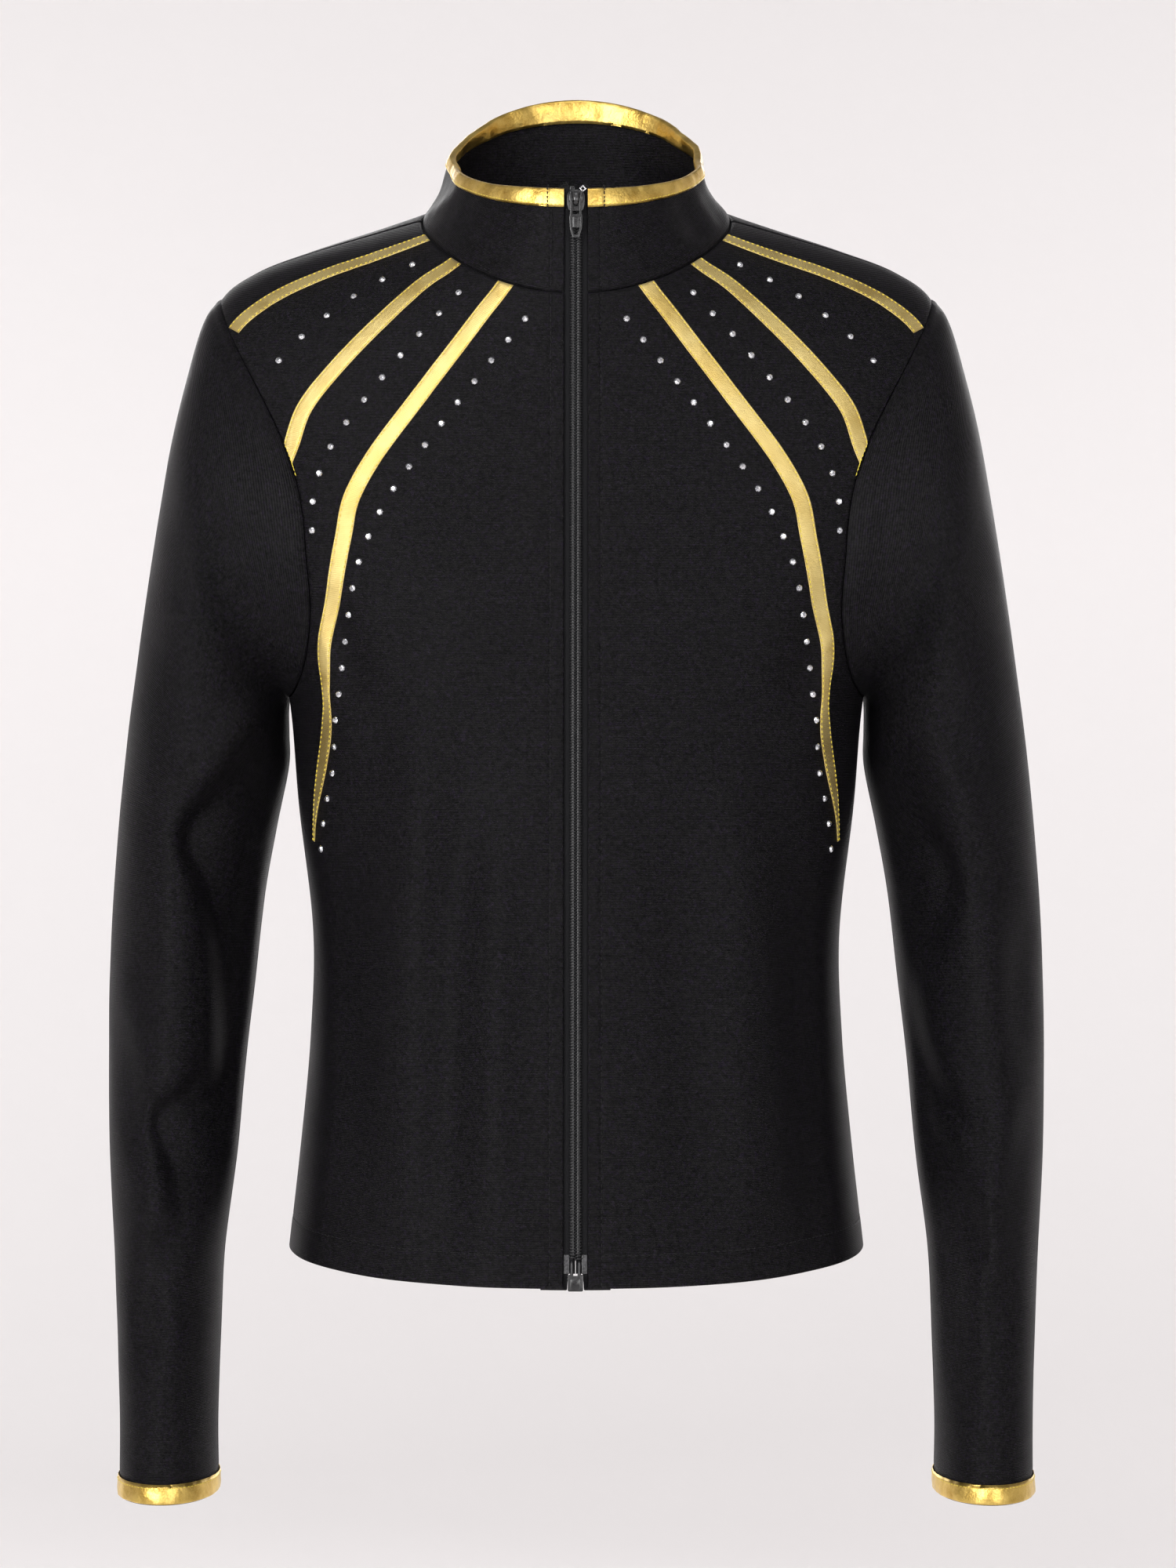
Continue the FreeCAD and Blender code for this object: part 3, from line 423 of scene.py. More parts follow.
def joined(parts):
    """Several (points, faces) as one."""
    points, faces, start = [], [], 0
    for part_points, part_faces in parts:
        points.append(part_points)
        faces += [[int(i) + start for i in face] for face in part_faces]
        start += len(part_points)
    return np.concatenate(points), faces


STITCH_STEPS = np.linspace(-1, 1, 7)
STITCH_SIDES = 6


def stitch_points(centres, ahead, up, length, radius):
    """Points and faces of many stitches: short bowed threads whose ends go down into the cloth."""
    ahead = ahead / np.linalg.norm(ahead, axis=-1, keepdims=True)
    side = np.cross(up, ahead)
    side /= np.linalg.norm(side, axis=-1, keepdims=True)
    up = np.cross(ahead, side)
    turn = np.linspace(0, 2 * math.pi, STITCH_SIDES, endpoint=False)
    girth = radius * np.sqrt(1.02 - STITCH_STEPS ** 4)
    lift = radius * (1.1 - 2.2 * np.abs(STITCH_STEPS) ** 3)
    axis = centres[:, None] + ahead[:, None] * (STITCH_STEPS * length / 2)[None, :, None]
    axis = axis + up[:, None] * lift[None, :, None]
    sideways = (np.cos(turn)[None, :] * girth[:, None])[None, :, :, None]
    upright = (np.sin(turn)[None, :] * girth[:, None])[None, :, :, None]
    ring = axis[:, :, None] + side[:, None, None] * sideways + up[:, None, None] * upright
    rows, count = len(STITCH_STEPS), len(centres)
    corner_rows, corner_columns = grid_quads(rows, STITCH_SIDES, True)
    quads = corner_rows * STITCH_SIDES + corner_columns % STITCH_SIDES
    each = rows * STITCH_SIDES
    faces = (quads[None] + (np.arange(count) * each)[:, None, None]).reshape(-1, 4).tolist()
    ends = [list(range(STITCH_SIDES))[::-1], [each - STITCH_SIDES + i for i in range(STITCH_SIDES)]]
    faces += [[i + each * n for i in end] for n in range(count) for end in ends]
    return ring.reshape(-1, 3), faces


def even_places(points, up, pitch, seed=0):
    """Centres, directions and up vectors at an even pitch along a fine line of points."""
    run = run_along(points)
    count = max(2, int(run[-1] / pitch))
    at = (np.arange(count) + 0.5) * run[-1] / count
    at = at + np.random.default_rng(seed).uniform(-0.06, 0.06, count) * pitch
    centres = np.stack([np.interp(at, run, points[:, i]) for i in range(3)], -1)
    ahead = np.stack([np.interp(at + 0.3, run, points[:, i]) - np.interp(at - 0.3, run, points[:, i])
                      for i in range(3)], -1)
    upward = np.stack([np.interp(at, run, up[:, i]) for i in range(3)], -1)
    return centres, ahead, upward


def stitch_line(points, up, pitch, length, radius, seed=0):
    centres, ahead, upward = even_places(points, up, pitch, seed)
    return stitch_points(centres, ahead, upward, length, radius)


def plate(outlines, low, high, bevel, segments=2):
    """Points and faces of a flat plate from outlines in X and Y; later outlines are holes in the first."""
    made = bmesh.new()
    for outline in outlines:
        corners = [made.verts.new((x, y, low)) for x, y in outline]
        for a, b in zip(corners, corners[1:] + corners[:1]):
            made.edges.new((a, b))
    bmesh.ops.triangle_fill(made, use_beauty=True, use_dissolve=False, edges=made.edges[:])
    flat = made.faces[:]
    grown = bmesh.ops.extrude_face_region(made, geom=flat)
    for item in grown["geom"]:
        if isinstance(item, bmesh.types.BMVert):
            item.co.z = high
    bmesh.ops.recalc_face_normals(made, faces=made.faces)
    rims = [edge for edge in made.edges
            if len(edge.link_faces) == 2 and edge.calc_face_angle(0) > math.radians(50)
            and abs(edge.verts[0].co.z - edge.verts[1].co.z) < 1e-6]
    if bevel:
        bmesh.ops.bevel(made, geom=rims, offset=bevel, segments=segments, profile=0.5, affect="EDGES",
                        clamp_overlap=True)
    made.verts.index_update()
    points = np.array([vertex.co for vertex in made.verts])
    faces = [[vertex.index for vertex in face.verts] for face in made.faces]
    made.free()
    return points, faces


def rounded(corners, radius, steps=4):
    """Outline with its corners rounded."""
    corners = np.asarray(corners, float)
    outline = []
    for i, corner in enumerate(corners):
        before, after = corners[i - 1] - corner, corners[(i + 1) % len(corners)] - corner
        reach = min(radius, 0.45 * np.linalg.norm(before), 0.45 * np.linalg.norm(after))
        start = corner + before / np.linalg.norm(before) * reach
        stop = corner + after / np.linalg.norm(after) * reach
        for t in np.linspace(0, 1, steps):
            outline.append((1 - t) ** 2 * start + 2 * t * (1 - t) * corner + t * t * stop)
    return [tuple(point) for point in outline]


def ellipsoid(centre, sizes, rows=8, columns=14):
    """Points and faces of a closed ellipsoid."""
    tilt = np.linspace(-math.pi / 2, math.pi / 2, rows + 2)[1:-1]
    turn = np.linspace(0, 2 * math.pi, columns, endpoint=False)
    ring = np.stack([np.cos(tilt)[:, None] * np.cos(turn), np.cos(tilt)[:, None] * np.sin(turn),
                     np.broadcast_to(np.sin(tilt)[:, None], (rows, columns))], -1)
    points = ring.reshape(-1, 3) * np.asarray(sizes) + np.asarray(centre)
    corner_rows, corner_columns = grid_quads(rows, columns, True)
    faces = (corner_rows * columns + corner_columns % columns).tolist()
    faces += [list(range(columns))[::-1], [(rows - 1) * columns + i for i in range(columns)]]
    return points, faces


# ---------------------------------------------------------------- materials

class Paint:
    """Small helper that builds a node material around one Principled shader."""

    def __init__(self, name, **sockets):
        self.material = bpy.data.materials.new(name)
        self.material.use_nodes = True
        self.tree = self.material.node_tree
        self.shader = self.tree.nodes["Principled BSDF"]
        for socket, value in sockets.items():
            self.shader.inputs[socket.replace("_", " ")].default_value = value

    def node(self, kind, values=(), **settings):
        made = self.tree.nodes.new("ShaderNode" + kind)
        for setting, value in settings.items():
            setattr(made, setting, value)
        for socket, value in dict(values).items():
            if isinstance(value, bpy.types.NodeSocket):
                self.tree.links.new(value, made.inputs[socket])
            else:
                made.inputs[socket].default_value = value
        return made

    def math(self, operation, first, second=0.0, third=0.0):
        return self.node("Math", {0: first, 1: second, 2: third}, operation=operation).outputs[0]

    def noise(self, scale, detail=2.0, vector=None, roughness=0.5):
        values = {"Scale": scale, "Detail": detail, "Roughness": roughness}
        values["Vector"] = vector if vector is not None else self.node("TexCoord").outputs["Object"]
        return self.node("TexNoise", values).outputs["Fac"]

    def remap(self, value, low, high, to_low, to_high):
        values = {"Value": value, "From Min": low, "From Max": high, "To Min": to_low, "To Max": to_high}
        return self.node("MapRange", values).outputs["Result"]

    def blend(self, share, dark, light):
        made = self.node("Mix", {0: share}, data_type="RGBA")
        for socket, value in ((6, dark), (7, light)):
            if isinstance(value, bpy.types.NodeSocket):
                self.tree.links.new(value, made.inputs[socket])
            else:
                made.inputs[socket].default_value = (*value, 1)
        return made.outputs[2]

    def bump(self, height, distance, strength=1.0, onto=None):
        values = {"Height": height, "Distance": distance, "Strength": strength}
        if onto is not None:
            values["Normal"] = onto
        return self.node("Bump", values).outputs["Normal"]

    def finish(self, **links):
        for socket, value in links.items():
            self.tree.links.new(value, self.shader.inputs[socket.replace("_", " ")])
        return self.material


def cloth_axes(paint, rib, dash):
    """Cloth coordinates counted in ribs and in dashes, each second rib shifted by half a dash."""
    parts = paint.node("SeparateXYZ", {0: paint.node("UVMap", uv_map="cloth").outputs[0]})
    ribs = paint.math("DIVIDE", parts.outputs[1], rib)
    shift = paint.math("MULTIPLY", paint.math("FLOOR", ribs), 0.5)
    return ribs, paint.math("ADD", paint.math("DIVIDE", parts.outputs[0], dash), shift)


def wave(paint, turns):
    """Cosine of whole turns, from 0 to 1."""
    cosine = paint.math("COSINE", paint.math("MULTIPLY", turns, 2 * math.pi))
    return paint.math("MULTIPLY_ADD", cosine, 0.5, 0.5)


def black_knit():
    """Satin-faced stretch knit: cross ribs of staggered dashes, grainy, with a faint violet fleck."""
    paint = Paint("black_knit", Specular_IOR_Level=0.06, Sheen_Weight=0.005, Sheen_Roughness=0.4,
                  Sheen_Tint=(0.75, 0.72, 0.85, 1))
    ribs, dashes = cloth_axes(paint, 0.0007, 0.0012)
    rib, dash = wave(paint, ribs), wave(paint, dashes)
    knit = paint.math("MULTIPLY", rib, paint.math("MULTIPLY_ADD", dash, 0.45, 0.55))
    fleck, grain, patch = paint.noise(1500, 2), paint.noise(620, 3, roughness=0.7), paint.noise(16, 3)
    depth = paint.math("ADD", paint.math("MULTIPLY", knit, 0.4), paint.math("MULTIPLY", fleck, 0.6))
    depth = paint.math("MULTIPLY", depth, paint.remap(grain, 0.3, 0.7, 0.55, 1.45))
    plain = paint.blend(paint.remap(depth, 0.2, 0.85, 0, 1), (0.0012, 0.0012, 0.0013),
                        (0.0150, 0.0144, 0.0152))
    violet = paint.blend(paint.remap(paint.noise(900, 1), 0.54, 0.72, 0, 1), (0.0, 0.0, 0.0),
                         (0.005, 0.0025, 0.009))
    colour = paint.node("Mix", {0: 1.0, 6: plain, 7: violet}, data_type="RGBA", blend_type="ADD").outputs[2]
    rough = paint.math("ADD", paint.remap(patch, 0.3, 0.7, 0.40, 0.48), paint.math("MULTIPLY", fleck, 0.06))
    bump = paint.bump(grain, 0.00022, 0.4)
    return paint.finish(Base_Color=colour, Roughness=rough, Normal=paint.bump(knit, 0.00016, 0.8, bump))


def gold_foil():
    """Gold foil on stretch cloth: bright, finely crazed, uneven where the strip is folded, with a painted
    highlight speckle.
    """
    paint = Paint("gold_foil", Metallic=1.0, Specular_IOR_Level=0.6, Coat_Weight=0.25, Coat_Roughness=0.2)
    cells = paint.node("TexVoronoi", {"Scale": 900.0, "Vector": paint.node("TexCoord").outputs["Object"]},
                       feature="F1").outputs["Distance"]
    slow, grain = paint.noise(140, 3), paint.noise(2600, 2)
    colour = paint.blend(paint.remap(slow, 0.3, 0.75, 0, 1), (0.50, 0.29, 0.04), (0.88, 0.64, 0.18))
    # The fine grain mixes a paler gold into the colour: a painted highlight speckle.
    colour = paint.blend(paint.remap(grain, 0.35, 0.75, 0, 0.4), colour, (0.96, 0.74, 0.24))
    rough = paint.math("ADD", paint.remap(slow, 0.3, 0.7, 0.27, 0.42), paint.math("MULTIPLY", grain, 0.12))
    bump = paint.bump(paint.noise(240, 3), 0.0006, 0.55)
    return paint.finish(Base_Color=colour, Roughness=rough, Normal=paint.bump(cells, 0.00012, 0.5, bump))


def stripe_foil():
    """Paler foil strip in which the weave of its backing shows."""
    paint = Paint("stripe_foil", Metallic=0.85, Specular_IOR_Level=0.5, Sheen_Weight=0.15,
                  Sheen_Roughness=0.4)
    ribs, dashes = cloth_axes(paint, 0.00055, 0.0008)
    dashed = paint.math("MULTIPLY_ADD", wave(paint, dashes), 0.5, 0.5)
    weave = paint.math("MULTIPLY", wave(paint, ribs), dashed)
    slow = paint.noise(70, 3)
    colour = paint.blend(paint.remap(slow, 0.3, 0.7, 0, 1), (0.62, 0.45, 0.14), (0.86, 0.71, 0.31))
    colour = paint.blend(paint.remap(weave, 0.0, 1.0, 0.5, 0.0), colour, (0.46, 0.31, 0.08))
    rough = paint.math("ADD", paint.remap(slow, 0.3, 0.7, 0.36, 0.46), paint.math("MULTIPLY", weave, 0.08))
    bump = paint.bump(paint.noise(500, 3), 0.00025, 0.5)
    return paint.finish(Base_Color=colour, Roughness=rough, Normal=paint.bump(weave, 0.00012, 0.6, bump))


def stone_glass():
    """Foil-backed clear stone: bright facets with dark patches painted into the colour as reflections."""
    paint = Paint("stone_glass", Metallic=0.9, Coat_Weight=1.0, Coat_Roughness=0.02, Specular_IOR_Level=0.8)
    painted_reflection_spots = paint.noise(900, 1)
    # Noise patches turn the facets grey: painted dark reflections.
    colour = paint.blend(paint.remap(painted_reflection_spots, 0.35, 0.6, 0, 1), (0.55, 0.57, 0.62), (0.97, 0.97, 1.0))
    return paint.finish(Base_Color=colour, Roughness=paint.remap(painted_reflection_spots, 0.3, 0.7, 0.06, 0.16))


def thread(name, dark, light, roughness):
    """Twisted sewing thread."""
    paint = Paint(name, Roughness=roughness, Specular_IOR_Level=0.3, Sheen_Weight=0.05)
    twist = paint.noise(5200, 1)
    colour = paint.blend(paint.remap(twist, 0.35, 0.65, 0, 1), dark, light)
    return paint.finish(Base_Color=colour, Normal=paint.bump(twist, 0.0001, 0.6))


def woven_tape():
    """Black woven zip tape with a fine herringbone-like weave."""
    paint = Paint("woven_tape", Specular_IOR_Level=0.15, Sheen_Weight=0.03, Sheen_Roughness=0.5)
    ribs, dashes = cloth_axes(paint, 0.00045, 0.0005)
    weave = paint.math("MULTIPLY", wave(paint, ribs), wave(paint, dashes))
    fleck = paint.noise(1900, 2)
    colour = paint.blend(paint.math("MULTIPLY", weave, fleck), (0.004, 0.004, 0.005), (0.024, 0.023, 0.026))
    return paint.finish(Base_Color=colour, Roughness=paint.remap(fleck, 0.3, 0.7, 0.55, 0.75),
                        Normal=paint.bump(weave, 0.00012, 0.9))


def nylon():
    """Black nylon of the coil and pins, with faint drawing marks."""
    paint = Paint("nylon_coil", Specular_IOR_Level=0.55, Coat_Weight=0.15, Coat_Roughness=0.3)
    marks = paint.noise(2400, 2)
    colour = paint.blend(marks, (0.005, 0.005, 0.006), (0.018, 0.018, 0.020))
    return paint.finish(Base_Color=colour, Roughness=paint.remap(marks, 0.3, 0.7, 0.26, 0.42),
                        Normal=paint.bump(marks, 0.00005, 0.5))


def enamel():
    """Black enamel on cast metal, a little worn."""
    paint = Paint("black_enamel", Specular_IOR_Level=0.6, Coat_Weight=0.4, Coat_Roughness=0.18, Metallic=0.1)
    orange_peel, wear = paint.noise(1300, 2), paint.noise(420, 4)
    colour = paint.blend(paint.remap(wear, 0.55, 0.8, 0, 1), (0.009, 0.009, 0.010), (0.05, 0.05, 0.053))
    return paint.finish(Base_Color=colour, Roughness=paint.remap(wear, 0.3, 0.7, 0.24, 0.38),
                        Normal=paint.bump(orange_peel, 0.00006, 0.5))


def bright_metal():
    """Bright crimped stop, scuffed."""
    paint = Paint("bright_metal", Metallic=1.0)
    scuffs = paint.noise(1500, 3)
    colour = paint.blend(scuffs, (0.55, 0.55, 0.56), (0.92, 0.92, 0.93))
    return paint.finish(Base_Color=colour, Roughness=paint.remap(scuffs, 0.3, 0.7, 0.10, 0.3),
                        Normal=paint.bump(scuffs, 0.00008, 0.6))


def grey_film():
    """Stiff film pressed onto the foot of the tape, the weave showing through."""
    paint = Paint("grey_film", Specular_IOR_Level=0.6, Coat_Weight=0.5, Coat_Roughness=0.1)
    crinkle = paint.noise(900, 3)
    colour = paint.blend(crinkle, (0.018, 0.018, 0.020), (0.075, 0.075, 0.080))
    return paint.finish(Base_Color=colour, Roughness=paint.remap(crinkle, 0.3, 0.7, 0.15, 0.4),
                        Normal=paint.bump(crinkle, 0.0002, 0.6))


def backdrop_paint():
    """Pale matt paint of the room."""
    paint = Paint("backdrop", Roughness=0.9, Specular_IOR_Level=0.1)
    mottle = paint.noise(0.8, 2)
    return paint.finish(Base_Color=paint.blend(mottle, (0.80, 0.775, 0.775), (0.83, 0.81, 0.81)))


KNIT, GOLD, FOIL, STONE = black_knit(), gold_foil(), stripe_foil(), stone_glass()
TAPE, NYLON, ENAMEL, METAL, FILM = woven_tape(), nylon(), enamel(), bright_metal(), grey_film()
YELLOW_THREAD = thread("yellow_thread", (0.66, 0.50, 0.03), (0.95, 0.82, 0.12), 0.45)
BLACK_THREAD = thread("black_thread", (0.0015, 0.0015, 0.002), (0.009, 0.0085, 0.010), 0.55)


# ---------------------------------------------------------------- cloth panels

THICK = 0.7
SEAM_ROUND = 0.45
HEM_ROUND = 0.6


def edge_share(distance, radius):
    """Share of the full thickness left near an edge rounded to a radius."""
    return np.maximum(0.12, np.sqrt(np.clip(1 - (1 - np.clip(distance / radius, 0, 1)) ** 2, 0, 1)))


def row_distances(length, near, far, middle):
    """Distances along rows of the given lengths: close steps at both ends and even steps between."""
    near, far = np.array(near), np.array(far)[::-1]
    between = np.linspace(0, 1, middle + 2)[1:-1]
    length = length[:, None]
    inside = near[-1] + (length - far[0] - near[-1]) * between
    return np.concatenate([np.broadcast_to(near, (len(length), len(near))), inside, length - far], 1)


def row_angles(start, stop, station, near, far, middle):
    """Angles at chosen distances along each row, and those distances."""
    share = np.linspace(0, 1, 90)
    angle = start[:, None] + (stop - start)[:, None] * share
    points = torso(angle, station[:, None])
    run = np.concatenate([np.zeros((len(start), 1)),
                          np.cumsum(np.linalg.norm(np.diff(points, axis=1), axis=-1), 1)], 1)
    distances = row_distances(run[:, -1], near, far, middle)
    return np.stack([np.interp(d, r, a) for d, r, a in zip(distances, run, angle)]), distances, run[:, -1:]


def stations_down():
    """Panel stations above, beside and below the armhole, the armhole ones given as turns."""
    above = np.concatenate([[0.02, 0.03, 0.045, 0.065, 0.1], np.linspace(0.15, ARMHOLE_HIGH, 62)])
    beside = np.linspace(0, 180, 92)[1:-1]
    below = np.concatenate([np.linspace(ARMHOLE_LOW, 12.55, 96), np.linspace(12.58, 12.82, 16),
                            np.linspace(12.84, 12.95, 5), [12.965, 12.975, 12.985, 12.993, 12.998, 13.0]])
    return above, beside, below


def height_run():
    """Length of cloth down the front as a table over height, so that ribs keep an even pitch."""
    points = torso(35.0, np.linspace(0, LAST_RING, 200))
    run = run_along(points)
    return points[::-1, 2], run[::-1]


RUN_HEIGHTS, RUN_LENGTHS = height_run()
HEM_TURN_UP = 13.0
ZIP_TOPSTITCH = 5.5
# Distances in from an edge at which a panel has columns of points: beside the zip, and beside a seam.
ZIP_COLUMNS = (0, 0.12, 0.3, 0.55, 0.9, 1.4, 2.1, 3.0, 4.0, 4.7, 5.1, 5.5, 5.9, 6.3, 7.0, 8.2, 10, 12.5)
SEAM_COLUMNS = (0, 0.1, 0.3, 0.6, 1.0, 1.6, 2.4, 3.6, 5.4)


def torso_coords(points, across):
    """Cloth coordinates: across the rows, and down the cloth by height, over the shoulders too."""
    above = np.maximum(0, points[..., 2] - RUN_HEIGHTS[-1])
    return np.stack([across, above - np.interp(points[..., 2], RUN_HEIGHTS, RUN_LENGTHS)], -1)


def panel(name, angle, station, mid, half, across):
    outer, inner = torso_place(angle, station, mid + half), torso_place(angle, station, mid - half)
    return shell(name, outer, inner, torso_coords(torso(angle, station), across), KNIT)


def along_from_hem(angle, station):
    points = torso(angle, station)
    steps = np.linalg.norm(np.diff(points, axis=0), axis=-1)
    run = np.concatenate([np.zeros((1, points.shape[1])), np.cumsum(steps, 0)])
    return run[-1] - run, run


def hem_profile(up_from_hem):
    """Extra thickness of the turned-up hem, and the dent of its stitching."""
    turned = smooth(0, 0.9, HEM_TURN_UP + 0.6 - up_from_hem)
    dent = 0.34 * np.exp(-((up_from_hem - HEM_TURN_UP) / 0.8) ** 2)
    return turned, dent


def front_panel(name, sign):
    """One front: folded edge and topstitching beside the zip, turned-up hem, seams drawn in."""
    above, beside, below = stations_down()
    loop_angle, loop_station = armhole(beside)
    station = np.concatenate([above, loop_station, below])
    stop = np.concatenate([np.full(len(above), 90.0), loop_angle, np.full(len(below), 90.0)])
    start = np.degrees(np.arctan2(FRONT_EDGE, front_depth(spline(RINGS, station)[:, 2])))
    angle, from_zip, length = row_angles(start, stop, station, ZIP_COLUMNS, SEAM_COLUMNS, 58)
    station = np.broadcast_to(station[:, None], angle.shape)
    up_from_hem, from_neck = along_from_hem(angle, station)
    from_side = length - from_zip
    turned, dent = hem_profile(up_from_hem)
    folded = smooth(0, 1.2, ZIP_TOPSTITCH + 0.8 - from_zip)
    half = THICK / 2 + 0.15 * folded + 0.3 * turned
    dent = dent + 0.36 * np.exp(-((from_zip - ZIP_TOPSTITCH) / 0.7) ** 2)
    dent = dent - 0.16 * folded - 0.12 * turned
    dent = dent + 0.5 * (1 - smooth(0, 1.7, from_side)) + 0.45 * (1 - smooth(0, 1.5, from_neck))
    pucker = ripples(np.stack([from_zip * 0, up_from_hem, from_zip * 0], -1), 11 + sign, 13, 0.16)
    dent = dent + pucker * np.exp(-(from_zip / 8) ** 2)
    mid = -half - dent
    half = half * edge_share(from_side, SEAM_ROUND) * edge_share(from_zip, 0.5)
    half = half * edge_share(up_from_hem, HEM_ROUND) * edge_share(from_neck, SEAM_ROUND)
    return panel("front_cloth_" + name, sign * angle, station, mid, half, sign * from_zip)


def back_panel():
    """The back, one piece from side seam to side seam."""
    above, beside, below = stations_down()
    loop_angle, loop_station = armhole(-beside)
    station = np.concatenate([above, loop_station, below])
    start = np.concatenate([np.full(len(above), 90.0), loop_angle, np.full(len(below), 90.0)])
    angle, from_side, length = row_angles(start, 360 - start, station, SEAM_COLUMNS, SEAM_COLUMNS, 116)
    station = np.broadcast_to(station[:, None], angle.shape)
    up_from_hem, from_neck = along_from_hem(angle, station)
    edge = np.minimum(from_side, length - from_side)
    turned, dent = hem_profile(up_from_hem)
    half = THICK / 2 + 0.3 * turned
    dent = dent - 0.12 * turned + 0.5 * (1 - smooth(0, 1.7, edge))
    dent = dent + 0.45 * (1 - smooth(0, 1.5, from_neck))
    mid = -half - dent
    half = half * edge_share(edge, SEAM_ROUND) * edge_share(up_from_hem, HEM_ROUND)
    half = half * edge_share(from_neck, SEAM_ROUND)
    return panel("back_cloth", angle, station, mid, half, from_side - length / 2)


def sleeve_tube(name):
    """One sleeve: seamed at the underarm, drawn in at the armhole seam."""
    station = np.concatenate([[0, 0.008, 0.02, 0.045, 0.08, 0.13, 0.2, 0.3], np.linspace(0.42, 13.7, 232),
                              [13.76, 13.84, 13.92, 13.97, 14.0]])[:, None]
    turn = np.linspace(0, 360, 133)
    turn = turn + 6 * np.sin(np.radians(turn)) * np.abs(np.sin(np.radians(turn)))
    turns, stations = np.broadcast_arrays(turn[None, :], station)
    points = sleeve(turns, stations)
    across = np.concatenate([np.zeros((len(station), 1)),
                             np.cumsum(np.linalg.norm(np.diff(points, axis=1), axis=-1), 1)], 1)
    along = mean_run_along(points)[:, None]
    middle = np.interp(180, turn, np.arange(len(turn)))
    from_seam = np.abs(across - across[:, int(round(middle))][:, None])
    from_armhole = np.broadcast_to(along, across.shape)
    from_foot = along[-1] - from_armhole
    dent = 0.5 * (1 - smooth(0, 1.9, from_armhole)) + 0.3 * np.exp(-(from_seam / 1.1) ** 2)
    dent = dent - 0.55 * np.exp(-((from_armhole - 4.5) / 3.2) ** 2) * (np.cos(np.radians(turns)) > -0.4)
    dent = dent + 0.15 * (1 - smooth(0, 2.5, from_foot - 8.5))
    half = THICK / 2 * edge_share(from_armhole, SEAM_ROUND) * edge_share(from_foot, 0.4)
    mid = -THICK / 2 - dent
    coords = np.stack([across, -np.broadcast_to(along, across.shape)], -1)
    cut = slice(0, len(turn) - 1)
    outer = sleeve_place(name, turns[:, cut], stations[:, cut], (mid + half)[:, cut])
    inner = sleeve_place(name, turns[:, cut], stations[:, cut], (mid - half)[:, cut])
    return shell("sleeve_cloth_" + name, outer, inner, coords, KNIT, wrap=True)


# ---------------------------------------------------------------- collar and bindings

COLLAR_BINDING_TALL = 8.5
COLLAR_MIDDLE = -18.0


def collar_edge_station():
    """Station at which the collar binding's lower edge lies."""
    fine = np.linspace(0, LAST_COLLAR, 400)
    heights = spline(COLLAR_RINGS, fine)[:, 2]
    return float(fine[np.argmin(np.abs(heights[-1] - heights - COLLAR_BINDING_TALL))])


COLLAR_EDGE = collar_edge_station()


def collar_ripple(points, station):
    """Soft dents of the standing collar, none beside the zip and along the neck seam."""
    clear = smooth(12, 32, np.abs(points[..., 0]) + np.maximum(0, points[..., 1] + 30))
    dents = ripples(points, 21, 34, 0.7) + ripples(points, 22, 13, 0.12)
    return dents * clear * smooth(0, 0.6, station)


def collar_place(angle, station, height):
    angle, station = np.broadcast_arrays(np.asarray(angle, float), np.asarray(station, float))
    points, outward = collar(angle, station), normals(collar, angle, station)
    return points + outward * (np.asarray(height) + collar_ripple(points, station))[..., None]


def lining_depth(x, y):
    """How far behind the collar's face its lining lies: the zip tape is between them in front."""
    return 1.0 + 1.1 * (1 - smooth(15, 24, np.abs(x))) * (y < 0)


def collar_rows(half_gap, count):
    """Angles round the collar at even distances from one front edge to the other."""
    start = math.degrees(math.atan2(half_gap, front_depth(COLLAR_MIDDLE)))
    fine = np.linspace(start, 360 - start, 900)
    points = collar(fine, 1.0)
    run = run_along(points)
    near = np.array([0, 0.12, 0.3, 0.6, 1.0, 1.6, 2.4, 3.4, 4.5, 5.1, 5.5, 5.9, 6.5, 7.5, 9])
    even = np.linspace(near[-1], run[-1] - near[-1], count)[1:-1]
    distance = np.concatenate([near, even, (run[-1] - near)[::-1]])
    return np.interp(distance, run, fine), distance, run[-1]


def collar_angle(angle, station, half_gap):
    """Angles pulled so that both front edges stay half_gap from the centre line at every station."""
    edge = np.degrees(np.arctan2(half_gap, front_depth(spline(COLLAR_RINGS, station)[..., 2])))
    fixed = math.degrees(math.atan2(half_gap, front_depth(COLLAR_MIDDLE)))
    return edge + (angle - fixed) * (360 - 2 * edge) / (360 - 2 * fixed)


def collar_layer(name, half_gap, facing):
    """One layer of the stand collar; the facing lies behind the outer cloth."""
    angle, distance, length = collar_rows(half_gap, 200)
    station = np.concatenate([[0.0, 0.006, 0.016, 0.035, 0.06],
                              np.linspace(0.09, COLLAR_EDGE + 0.12, 26)])[:, None]
    angles = collar_angle(angle[None, :], station, half_gap)
    stations = np.broadcast_to(station, angles.shape)
    points = collar(angles, stations)
    edge = np.minimum(distance, length - distance)[None, :]
    from_base = np.linalg.norm(points - points[:1], axis=-1)
    half = THICK / 2 * edge_share(edge, SEAM_ROUND) * edge_share(from_base, SEAM_ROUND)
    depth = lining_depth(points[..., 0], points[..., 1]) + 0.2 if facing else 0
    dent = 0.45 * (1 - smooth(0, 1.6, from_base)) + 0.36 * np.exp(-((edge - ZIP_TOPSTITCH) / 0.7) ** 2)
    mid = -THICK / 2 - (0 if facing else dent) - depth
    coords = np.stack([np.broadcast_to(distance, angles.shape), from_base], -1)
    return shell(name, collar_place(angles, stations, mid + half), collar_place(angles, stations, mid - half),
                 coords, KNIT)


